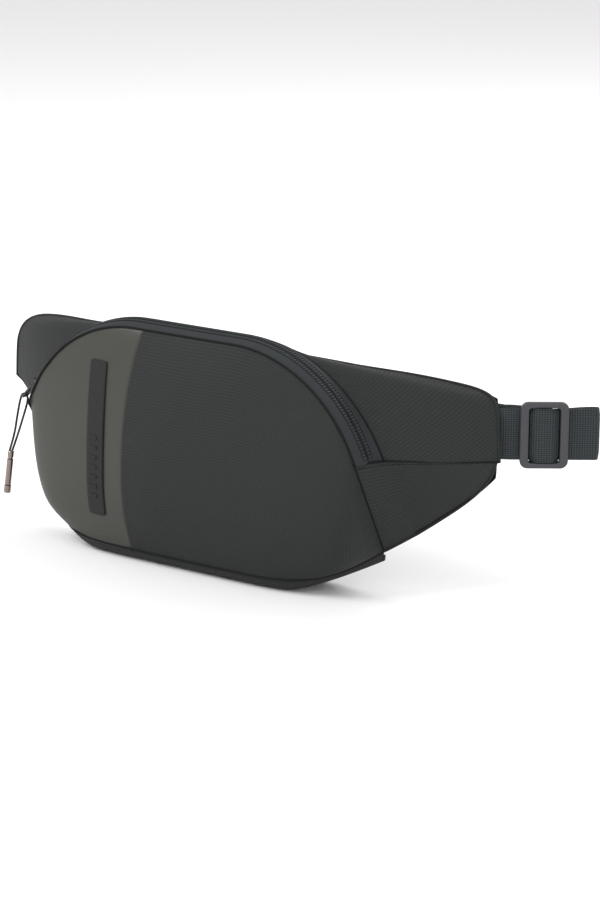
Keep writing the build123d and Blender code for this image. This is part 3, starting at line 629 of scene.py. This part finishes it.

# %% [markdown]
# # The zip
# On a reverse coil zip the coil is on the inside. What shows is the back of the
# two tapes, with the stitches that hold the coil standing like a ladder on each
# side of a dark line. The front tape is on the flap; only the rear one is attached to the bag.

# %% The two tapes
TAPE_SHARE = 0.485                              # each tape's share of the band; the rest is the gap
s_steps, w_steps = steps((-1, 1), (0, TAPE_SHARE), (300, 16))
tape_front = zip_band(s_steps, w_steps)
on_flap(cloth_shell("zip_tape_front_cloth", tape_front, 0.8, zip_tape), "zip_tape",
        "zip_tape_front", "zip_tape_end")
tape_rear = zip_band(s_steps, np.linspace(1 - TAPE_SHARE, 1, 16)[None])
on_bag(cloth_shell("zip_tape_rear_cloth", tape_rear, 0.8, zip_tape), "zip_tape", "zip_tape_rear")


# %% [markdown]
# The coil and its stitches are hundreds of small bars. Each kind is one mesh of
# copies, so no stitch has to be moved by itself.

# %% Ladder stitches over the coil, and the coil below
ZIP_SHARE = 0.985                               # the coil stops this far along the tape


def band_line(w, lift=0.0):
    """A line along the zip band at one w, lifted outwards, and the way out of the cloth there."""
    s = np.linspace(-ZIP_SHARE, ZIP_SHARE, 600)
    out = grid_normals(zip_band(s[:, None], np.array([[w - 0.02, w, w + 0.02]])))[:, 1]
    out *= np.sign(np.sum(out * (zip_band(s, w) - POUCH_MIDDLE), 1))[:, None]
    return zip_band(s, w) + lift * out, out


RUNG_PITCH = 1.9
rung = bead(2.5, 0.75, 0.95)
loop = bead(3.0, 1.5, 1.1)
for side, w, place in (("front", 0.385, on_flap), ("rear", 0.615, on_bag)):
    line, out = band_line(w)
    spots, spot_out = resample(line, out, RUNG_PITCH, 0.95 if side == "rear" else 0.0)
    place(repeat(f"ladder_{side}", rung, spots, spot_out, ladder_thread, crosswise=True, lift=0.18),
          "zip_tape")
    place(repeat(f"coil_{side}", loop, spots, spot_out, coil, crosswise=True, lift=-1.5,
                 aside=0.9 if side == "front" else -0.9), "zip_coil", f"zip_coil_{side}")
    for edge, offset in (("inner", 0.075), ("outer", -0.075)):
        row, row_out = band_line(w + offset, 0.15)
        place(tube(f"ladder_{side}_{edge}_thread", row, 0.22, thread, row_out, 6), "zip_tape")
print("rungs on each side:", len(spots))

# %% [markdown]
# Piping is a narrow strip of cloth folded round a cord and caught in the seam.
# It runs round the whole front panel, so its line is the panel's border.

# %% Piping round the front
s_line = np.linspace(-1, 1, 500)
top_line = front_at(s_line, 1.0) + (0.0, -0.3, 0.4)
right_line = front_at(1.0, np.linspace(1, 0, 120))
left_line = front_at(-1.0, np.linspace(0, 1, 120))
base_line = front_at(np.linspace(1, -1, 400), 0.0)
outward = np.array([0.0, -1.0, 0.0])
# Painted shade, in part: the cords take the darkest cloth, so their dark line round the front also stands
# for the shade in the seam.
on_flap(tube("piping_top_cord", top_line, 0.75, binding_and_seam_shade, outward), "piping", "piping_top")
for name, line in (("right", right_line), ("left", left_line)):
    on_flap(tube(f"piping_{name}_cord", line, 0.7, binding_and_seam_shade, outward), "piping")
on_bag(tube("piping_base_cord", base_line, 0.7, binding_and_seam_shade, outward), "piping", "piping_base")

# %% [markdown]
# # Wings, base and back
# The upper wing panels are cut on the bias, so their grid runs at 45 degrees;
# the lower ones are cut straight. The left side is the right side mirrored.


# %% Wing panels, left and right
def side_of(grid, side):
    """The grid itself on the right, or mirrored in x on the left."""
    return grid * np.array([side, 1.0, 1.0])


upper_grid = settle(wing_upper(*steps((0, 1), (0, 1), (170, 60))), roll=0.7, pucker=0.2, seed=1.0)
lower_grid = settle(wing_lower(*steps((0, 1), (0, 1), (90, 60))), roll=0.5, pucker=0.15, seed=3.0)
SIDES = (("right", 1), ("left", -1))
for side, sign in SIDES:
    centre = np.array([sign * 60.0, 12.0, 80.0])
    for level, grid, turn in (("upper", upper_grid, math.pi / 4), ("lower", lower_grid, 0.0)):
        cloth = cloth_shell(f"wing_{side}_{level}", side_of(grid, sign), FABRIC, ribstop, turn, centre)
        on_bag(cloth, "ribstop", f"wing_{level}_{side}")


# %% [markdown]
# A topstitch runs beside its seam at an even distance, which is one line of the
# panel's own grid. A thin tube of the darkest cloth on the seam itself is painted shade of the seam's
# groove.

# %% Stitching along a line of a panel
STITCH = bead(2.3, 0.38, 0.5)
STITCH_PITCH = 3.0


def stitch_row(name, panel, first, second, mirror):
    """Even stitches along a panel's line, given by arrays of its two parameters."""
    step = 1e-3
    line = panel(first, second)
    out = np.cross(panel(first + step, second) - line, panel(first, second + step) - line)
    out /= np.linalg.norm(out, axis=1, keepdims=True)
    out *= np.where(out[:, 1:2] < 0, 1, -1)
    line, out = side_of(line, mirror), side_of(out, mirror)
    spots, spot_out = resample(line, out, STITCH_PITCH, STITCH_PITCH / 2)
    return on_bag(repeat(name, STITCH, spots, spot_out, thread, lift=0.12), "ribstop")


along = np.linspace(0.02, 0.97, 300)
for side, sign in SIDES:
    stitch_row(f"stitches_{side}_wing_seam", wing_lower, along, np.full(300, 0.045), mirror=sign)
    # Painted shade: a thin tube of the darkest cloth on the wing seam and on the zip seam stands for the
    # shade in each seam's groove.
    seam = wing_lower(np.linspace(0.02, 0.99, 160), 0.0) + (0, -0.15, 0)
    on_bag(tube(f"painted_shade_{side}_wing_seam", side_of(seam, sign), 0.5, binding_and_seam_shade, outward, 8), "piping")
    groove = zip_band(np.linspace(0.0, 1, 300), 1.0)
    on_bag(tube(f"painted_shade_{side}_zip_seam", side_of(groove, sign), 0.55, binding_and_seam_shade, (0, 0, 1.0), 8), "piping")

# %% [markdown]
# Where the front and back cloths are turned in and joined, the seam is a soft
# roll: a thin tube of the same cloth closes the edge.

# %% Wing edges
rim = wing_upper(np.linspace(0, 1, 500), 1.0)
low_rim = wing_lower(np.linspace(1, 0, 200), 1.0)
for side, sign in SIDES:
    on_bag(tube(f"edge_{side}_upper", side_of(rim, sign), 0.9, ribstop, outward, 8), "ribstop")
    on_bag(tube(f"edge_{side}_lower", side_of(low_rim, sign), 0.9, ribstop, outward, 8), "ribstop")


# %% [markdown]
# The bag stands on its gusset: flat in the middle, lifting towards the corners.

# %% The base gusset
BASE_FLAT, BASE_RISE = 72.0, 19.0


def base_gusset(a, t):
    """Base: across the bag y goes from the front seam to the back, and z dips as |2t - 1|^6
    from the seams to the ground, which it touches for |x| under BASE_FLAT."""
    a, t = np.broadcast_arrays(np.asarray(a, float), np.asarray(t, float))
    x = CORNER[0] * a
    front_y, front_z = base_seam(a)
    front_y, front_z = front_y + 0.3, front_z - 0.6
    low_z = BASE_RISE * (np.clip(np.abs(x) - BASE_FLAT, 0, None) / (CORNER[0] - BASE_FLAT)) ** 1.4
    back_z = low_z + 4.5 * (front_z - low_z) / 6.8
    seam_z = front_z + (back_z - front_z) * t
    z = low_z + (seam_z - low_z) * np.abs(2 * t - 1) ** 6
    return np.stack([x, front_y + (-1.0 - front_y) * t, z], -1)


base_grid = base_gusset(*steps((-1, 1), (0, 1), (160, 40)))
base = cloth_shell("base_cloth", base_grid, FABRIC, ribstop, towards=(0, -20, 60))
on_bag(base, "ribstop", "base_gusset")

# %% [markdown]
# The back is what lies against the wearer: air mesh over foam, quilted into
# channels so that air can pass, with two thicker pads.


# %% The back panel
def back_panel(a, b):
    """Back: y follows the wings' curve, z runs from the low edge to the top edge, and the cloth
    is drawn in at the border and swells by a millimetre and a half in between."""
    a, b = np.broadcast_arrays(np.asarray(a, float), np.asarray(b, float))
    x = TIP_X * a
    d = np.abs(x)
    h = np.clip((d - CORNER[0]) / (TIP_X - CORNER[0]), 0, 1)
    middle = 5 + (CORNER[2] - 5) * (np.clip(d - 70, 0, None) / (CORNER[0] - 70)) ** 2
    wing = CORNER[2] + (ZIP_END_Z - CORNER[2]) * low_rise(h)
    low = np.where(d <= CORNER[0], middle, wing) + 1.5
    edge_x, _, edge_z = upper_edge(np.linspace(0, 1, 600))
    top = np.maximum(np.interp(d, edge_x, edge_z) - 1.0, low + 0.5)
    swell = 1.5 * np.clip(1 - a ** 20, 0, 1) * np.clip(1 - (2 * b - 1) ** 8, 0, 1)
    return np.stack([x, back_y(x) - 1 + swell, low + (top - low) * b], -1)


share = np.sin(np.linspace(-1, 1, 260) * math.pi / 2)[:, None] * 0.955
back_grid = settle(back_panel(share, np.linspace(0, 1, 70)[None]), roll=0.4, pucker=0.1, seed=4.0)
back_cloth = cloth_shell("back_mesh", back_grid, FABRIC, air_mesh, towards=(0, -40, 70))
on_bag(back_cloth, "mesh", "back_panel")


# %% [markdown]
# A pad is foam under mesh: a crowned cushion, full in the middle, thin at its
# outline and dipped along its channels.

# %% The two back pads
def pad_shell(u, v, box_low, box_high):
    """A pad over a box: its height is (1 - |u|^6)(1 - |v|^6) under a root, its outline a superellipse,
    and quilted channels dip it at even steps."""
    x = u * np.sqrt(1 - 0.5 * np.abs(v) ** 10)
    z = v * np.sqrt(1 - 0.5 * np.abs(u) ** 10)
    height = (np.clip(1 - np.abs(u) ** 6, 0, 1) * np.clip(1 - np.abs(v) ** 6, 0, 1)) ** 0.5
    channel = 1 - 0.22 * np.exp(-(((v * 3 + 0.5) % 1 - 0.5) / 0.09) ** 2)
    middle, half = (box_low + box_high) / 2, (box_high - box_low) / 2
    return np.stack([middle[0] + half[0] * x, box_low[1] + 2 * half[1] * height * channel,
                     middle[2] + half[2] * z], -1)


for side in ("left", "right"):
    low, high = node_box(f"back_foam_{side}")
    pad_grid = pad_shell(*np.broadcast_arrays(*steps((-1, 1), (-1, 1), (80, 80))), low, high)
    pad = cloth_shell(f"back_pad_{side}", pad_grid, 0.9, air_mesh, towards=(0, -40, 50))
    on_bag(pad, "mesh", f"back_foam_{side}")

# %% [markdown]
# The rear pocket's zip is straight and small: two plain tapes and two rows of teeth.

# %% The rear pocket's zip
pocket_low, pocket_high = node_box("pocket_zip_coils")
pocket_z = (pocket_low[2] + pocket_high[2]) / 2
for name, offset in (("upper", 4.6), ("lower", -4.6)):
    xs, zs = np.broadcast_arrays(*steps((-82, 82), (-4, 4), (120, 9)))
    strip = np.stack([xs, 1.4 + 0.15 * np.cos(xs / 6), pocket_z + offset + zs], -1)
    on_bag(cloth_shell(f"pocket_tape_{name}", strip, 0.8, zip_tape, towards=(0, -40, 90)),
           "zip_tape", f"pocket_zip_tape_{name}")
pocket_line = np.stack([np.linspace(-77, 77, 82), np.full(82, 2.0), np.full(82, pocket_z)], -1)
for side in (-1, 1):
    teeth = repeat(f"pocket_coil_{'lower' if side < 0 else 'upper'}", bead(2.6, 1.2, 1.1), pocket_line,
                   (0, 1.0, 0), coil, crosswise=True, aside=1.4 * side)
    on_bag(teeth, "zip_coil", "pocket_zip_coils")

# %% [markdown]
# # Belt
# Webbing is a flat strip standing on edge. Its route is straight runs joined by
# arcs, seen from above; the strip is that route swept up by the belt's width.


# %% Routes of straight runs and arcs
def rounded_route(corners, radii, step=1.0):
    """Points along straight runs whose corners are rounded: each corner becomes an arc that
    touches both runs at radius * tan(half the turn) from it."""
    corners = [np.asarray(c, float) for c in corners]
    route = [corners[0]]
    for before, here, after, radius in zip(corners, corners[1:], corners[2:], radii):
        a, b = (before - here) / np.linalg.norm(before - here), (after - here) / np.linalg.norm(after - here)
        half = math.acos(np.clip(np.dot(a, b), -1, 1)) / 2
        reach = radius / math.tan(half)
        middle = here + (a + b) / np.linalg.norm(a + b) * radius / math.sin(half)
        start, end = here + a * reach - middle, here + b * reach - middle
        share = np.linspace(0, 1, 12)[:, None]
        turn = math.pi - 2 * half
        arc = (np.sin((1 - share) * turn) * start + np.sin(share * turn) * end) / math.sin(turn)
        route.extend(middle + arc)
    route.append(corners[-1])
    route = np.array(route)
    at = np.arange(0, path_lengths(route)[-1], step)
    return np.stack([np.interp(at, path_lengths(route), route[:, k]) for k in range(2)], 1)


WEB_WIDTH, WEB_THICK, BELT_Z = 30.0, 1.6, 100.0


def strap(name, plan, width=WEB_WIDTH, thick=WEB_THICK, middle=BELT_Z, droop=0.0):
    """A strip on edge along a plan route: a flat ring whose faces swell as 1 - 0.75 |d|^8."""
    path = np.concatenate([plan, np.zeros((len(plan), 1))], 1)
    _, _, across = line_frames(path, (0, 0, 1.0))
    rise = np.linspace(-1, 1, 9) * width / 2
    swell = thick / 2 * np.clip(1 - 0.75 * np.abs(rise / (width / 2)) ** 8, 0, 1)
    ring_rise = np.concatenate([rise, rise[::-1]])
    ring_side = np.concatenate([swell, -swell[::-1]])
    points = path[:, None] + ring_side[None, :, None] * across[:, None]
    points[..., 2] += middle + ring_rise
    points[..., 2] += np.broadcast_to(droop, len(path))[:, None]
    count = len(ring_rise)
    run = np.broadcast_to(path_lengths(path)[:, None], points.shape[:2])
    uv = np.stack([run, np.broadcast_to(ring_rise + 20, points.shape[:2])], -1)
    faces = grid_faces(len(path), count, wrap=True).tolist()
    last = (len(path) - 1) * count
    faces += [list(range(count)), list(range(last, last + count))[::-1]]
    return make_object(name, points.reshape(-1, 3), faces, webbing, uv.reshape(-1, 2))


# %% [markdown]
# The belt leaves the wing, folds back and returns behind the bag to the buckle. Its
# places are given along and behind two slanted lines: the belt's, and the wing's.

# %% Where the belt runs
BELT_TILT, SLEEVE_TILT = math.radians(37), math.radians(31)
SLEEVE = np.array([180.9, 25.1])
ALONG = np.array([math.cos(BELT_TILT), math.sin(BELT_TILT)])
BEHIND = np.array([-math.sin(BELT_TILT), math.cos(BELT_TILT)])
INWARD = np.array([math.cos(SLEEVE_TILT), math.sin(SLEEVE_TILT)])
INWARD_BEHIND = np.array([-math.sin(SLEEVE_TILT), math.cos(SLEEVE_TILT)])


def belt_point(run, rear):
    """Plan point at a distance along the belt from the wing's tip and behind its middle."""
    return SLEEVE + ALONG * run + BEHIND * rear


def sleeve_point(run, rear):
    """Plan point inside the wing, where the belt lies along the wing's panel."""
    return SLEEVE + INWARD * run + INWARD_BEHIND * rear


RING_RUN, RING_LAYER, FRONT_LAYER, REAR_LAYER, FOLD_RUN = -14.0, 2.85, -4.0, 3.4, 55.0
BUCKLE_Y, GLIDE_RUN = 16.5, 24.0
right_plan = rounded_route([
    belt_point(0, REAR_LAYER), sleeve_point(RING_RUN + 4, RING_LAYER),
    sleeve_point(RING_RUN - 4.2, RING_LAYER), sleeve_point(RING_RUN - 4.2, -RING_LAYER),
    sleeve_point(RING_RUN + 4, -RING_LAYER), belt_point(4, FRONT_LAYER),
    belt_point(FOLD_RUN, FRONT_LAYER), belt_point(FOLD_RUN, FRONT_LAYER + 4.8),
    belt_point(34, 5.5), belt_point(-6, 12.0), (128, BUCKLE_Y - 1.0), (88, BUCKLE_Y), (33, BUCKLE_Y),
], [30, 2.8, 2.8, 30, 30, 2.3, 2.3, 40, 40, 60, 40], 0.6)
run = path_lengths(right_plan)
fold_at = run[np.argmax(right_plan @ ALONG)]
droop = -3.0 * np.sin(np.pi * np.clip((run - fold_at) / 70, 0, 1)) ** 2
on_bag(strap("belt_right_webbing", right_plan, droop=droop), "webbing", "belt_right")

left_plan = rounded_route([
    sleeve_point(-26, -1.0), sleeve_point(-6, -0.5), belt_point(3.0, 0.5), belt_point(3.0, 6.0),
    belt_point(-12, 12.0), (128, BUCKLE_Y - 1.0), (88, BUCKLE_Y), (45.2, BUCKLE_Y),
], [30, 2.4, 2.4, 40, 40, 60], 0.6) * (-1, 1)
on_bag(strap("belt_left_webbing", left_plan), "webbing", "belt_left")

tab_plan = rounded_route([
    sleeve_point(RING_RUN - 40, -1.0), sleeve_point(RING_RUN - 16, -2.9), sleeve_point(RING_RUN - 9, -2.9),
    sleeve_point(RING_RUN - 9, 2.9), sleeve_point(RING_RUN - 16, 2.9), sleeve_point(RING_RUN - 40, 1.0),
], [6, 2.6, 2.6, 6])
on_bag(strap("ring_tab_webbing", tab_plan, width=28.0, thick=1.2), "webbing", "ring_tab")

# %% [markdown]
# The webbing over the adjuster's bar and the sewn end behind it slide with it.

# %% Webbing over the adjuster's bar, and the belt's sewn end
GLIDE = SLEEVE + ALONG * GLIDE_RUN + BEHIND * -5.05
HUMP = ((-8.3, 0.35), (-4.2, 3.2), (4.2, 3.2), (8.3, 0.35))      # along the belt, and out in front
hump_plan = rounded_route([GLIDE + ALONG * a - BEHIND * (b + 0.55) for a, b in HUMP], [4.0, 4.0], 0.4)
hump = strap("webbing_over_glide_bar", hump_plan, width=31.4, thick=1.1)
end_plan = rounded_route([
    belt_point(GLIDE_RUN + 4.5, FRONT_LAYER + 1.9), belt_point(GLIDE_RUN - 9, FRONT_LAYER + 1.95),
    belt_point(GLIDE_RUN - 18, REAR_LAYER - 2.1), belt_point(GLIDE_RUN - 23, REAR_LAYER - 2.1),
], [12, 12], 0.6)
sewn_end = strap("sewn_end_webbing", end_plan, thick=1.3, middle=BELT_Z + 1.0)
for piece, node in ((hump, "webbing_over_bar"), (sewn_end, "belt_sewn_end")):
    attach(piece, "triglide")
    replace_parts(piece, node)
print("belt routes, mm:", round(path_lengths(right_plan)[-1]), round(path_lengths(left_plan)[-1]))

# %% [markdown]
# # Inside
# The lining is seen when the flap is open: a plain grey cloth, a slip pocket on
# the back wall, and a leash for keys.

# %% Linings, slip pocket and key leash
def drawn_in(grid, depth, centre=(0.0, -14.0, 72.0), sizes=(124.0, 38.0, 72.0)):
    """The grid moved towards the middle of the pouch by about the depth."""
    return centre + (grid - centre) * (1 - depth / np.array(sizes))


front_lining = drawn_in(front(*steps((-0.97, 0.97), (0.02, 0.985), (90, 60))), 2.4)
on_flap(cloth_shell("front_lining_cloth", front_lining, 0.6, lining), "lining",
        "front_lining_lower", "front_lining_upper")
xs, zs = np.broadcast_arrays(*steps((-100, 100), (14, 124), (60, 40)))
wall = np.stack([xs, -2.0 - 0.3 * np.sin(xs / 17) * np.sin(zs / 13), zs], -1)
on_bag(cloth_shell("back_lining_cloth", wall, 0.6, lining, towards=(0, 40, 70)), "lining", "back_lining")
xs, zs = np.broadcast_arrays(*steps((-85, 85), (16, 78), (80, 40)))
pocket = np.stack([xs, -4.6 - 0.9 * np.cos(xs / 40) - 0.3 * np.sin(xs / 11) * (zs - 16) / 62, zs], -1)
on_bag(cloth_shell("slip_pocket_cloth", pocket, 0.6, lining, towards=(0, 40, 50)), "lining", "slip_pocket")
hem_x = np.linspace(-84, 84, 100)
hem = np.stack([hem_x, np.interp(hem_x, pocket[:, -1, 0], pocket[:, -1, 1]), np.full(100, 78.0)], -1)
on_bag(tube("slip_pocket_hem", hem, 0.8, binding_and_seam_shade, (0, -1.0, 0), 8), "lining")
low, high = node_box("key_leash")
leash_z, leash_x = np.broadcast_arrays(*steps((low[2], high[2]), (low[0], high[0]), (30, 7)))
leash = np.stack([leash_x, np.full(leash_x.shape, low[1]), leash_z], -1)
on_bag(cloth_shell("key_leash_webbing", leash, high[1] - low[1], webbing, towards=(80, 40, 100)),
       "webbing", "key_leash")

# %% [markdown]
# # Finishes for the frame's own parts
# The buckle, adjuster, sliders and puller keep the frame's shapes.

# %% Painting the frame's parts
finishes = {
    moulded: ["triglide", "buckle_socket", "buckle_plug", "buckle_prong_upper", "buckle_prong_lower",
              "belt_ring"],
    painted_zinc: ["main_slider", "main_pull_tab", "pocket_slider", "pocket_pull", "key_hook", "key_gate",
                   "key_swivel_eye"],
    gunmetal: ["puller_cap", "puller_barrel", "puller_end_ring"],
}
for material, names in finishes.items():
    for name in names:
        nodes[name].data.materials.clear()
        nodes[name].data.materials.append(material)

# %% [markdown]
# # The puller's cord
# A thin braided cord is looped through the slider's tab and gripped in the metal
# puller. A curve with a round bevel is the simplest true cord: its own line is
# the centre line, and the control points are the ones of the real route.

# %% The pull cord
CORD_D = 1.4
REST_ANGLE = math.asin((92.5 - ARCH_Z) / ZIP_R)        # where the closed slider rests on the arch
PIN_R = ZIP_R + 0.55 + 1.6 + 1.1                       # tape, slider plate, half of the bridge's tunnel
TAB_LEAN, TAB_DROP = math.radians(45), 13.0 - 1.5 * 1.9
eye = np.array([-ARCH_X - PIN_R * math.cos(REST_ANGLE) - TAB_DROP * math.sin(TAB_LEAN), ZIP_Y,
                ARCH_Z + PIN_R * math.sin(REST_ANGLE) - TAB_DROP * math.cos(TAB_LEAN)])
puller_top = eye + (-9.4, -4.3, -36.4)
hang = puller_top - eye
cord_points = [
    puller_top + (0.7, 0.5, 0.3), eye + hang * 0.72 + (1.6, 0.5, 0), eye + hang * 0.40 + (2.2, 0.4, 0),
    eye + hang * 0.12 + (2.5, 0.2, -0.6), eye + (1.6, 0.0, -0.6), eye + (-2.6, 0.0, 0.9),
    eye + hang * 0.12 + (-3.1, -0.2, 0.8), eye + hang * 0.40 + (-1.8, -0.6, 0.3),
    eye + hang * 0.72 + (0.0, -0.7, 0.2), puller_top + (-0.7, -0.5, 0.3),
]
curve = bpy.data.curves.new("pull_cord_braid", "CURVE")
curve.dimensions = "3D"
spline = curve.splines.new("NURBS")
spline.points.add(len(cord_points) - 1)
for point, place in zip(spline.points, cord_points):
    point.co = (*in_metres(place).tolist(), 1.0)
spline.order_u = 3
spline.use_endpoint_u = True
spline.resolution_u = 12
curve.bevel_depth = CORD_D / 2 * MM
curve.bevel_resolution = 4
curve.use_fill_caps = True
curve.materials.append(braid)
pull_cord = bpy.data.objects.new("pull_cord_braid", curve)
bpy.context.scene.collection.objects.link(pull_cord)
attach(pull_cord, "puller")
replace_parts(pull_cord, "pull_cord")

# %% [markdown]
# # Studio
# A pale floor, a white surround, and three large soft lamps: one high on the
# left as the key, one low on the right to lift the shadow side, one behind.


# %% Floor
def flat_square(name, size, material):
    """A square of one face on the ground, with its side in mm."""
    half = size / 2
    square = np.array([(-half, -half, 0), (half, -half, 0), (half, half, 0), (-half, half, 0)])
    return make_object(name, square - (0, BACK_PLANE, 0), [(0, 1, 2, 3)], material, smooth=False)


paper, _ = surface("white studio paper", "#f4f4f4", 0.9)
flat_square("floor", 12000, paper)


# %% Lamps and the white surround
LAMP_TARGET = Vector((0.0, 0.0, 0.07))


def lamp(name, place, size, power):
    """A square area lamp at a place in metres, turned to face the bag."""
    data = bpy.data.lights.new(name, "AREA")
    data.size, data.energy = size, power
    light = bpy.data.objects.new(name, data)
    bpy.context.scene.collection.objects.link(light)
    facing = (Vector(place) - LAMP_TARGET).to_track_quat("Z", "Y")
    light.matrix_world = Matrix.Translation(Vector(place)) @ facing.to_matrix().to_4x4()
    return light


lamp("key", (-1.0, -1.2, 1.5), 1.3, 30)
lamp("fill", (1.6, -1.0, 0.8), 1.4, 10)
lamp("rear", (0.3, 1.5, 1.6), 1.4, 22)
scene = bpy.context.scene
scene.world = scene.world or bpy.data.worlds.new("studio")
scene.world.use_nodes = True
surround = scene.world.node_tree.nodes["Background"]
surround.inputs["Color"].default_value = (1.0, 1.0, 1.0, 1.0)
surround.inputs["Strength"].default_value = 0.8
scene.view_settings.view_transform = "Standard"

# %% [markdown]
# A long lens keeps the bag's lines nearly parallel. The shift frames the bag
# without turning the camera.

# %% Camera
AZIMUTH, ELEVATION, DISTANCE = math.radians(38.29), math.radians(16.08), 1.9
back_way = Vector((math.sin(AZIMUTH) * math.cos(ELEVATION), -math.cos(AZIMUTH) * math.cos(ELEVATION),
                   math.sin(ELEVATION)))
camera_data = bpy.data.cameras.new("camera")
camera_data.sensor_width, camera_data.lens = 36.0, 125.1
camera_data.shift_x, camera_data.shift_y = 0.0833, 0.1177
camera = bpy.data.objects.new("camera", camera_data)
scene.collection.objects.link(camera)
target = Vector((0, BACK_PLANE * MM, 0))
camera.matrix_world = (Matrix.Translation(target + back_way * DISTANCE)
                       @ back_way.to_track_quat("Z", "Y").to_matrix().to_4x4())
scene.camera = camera
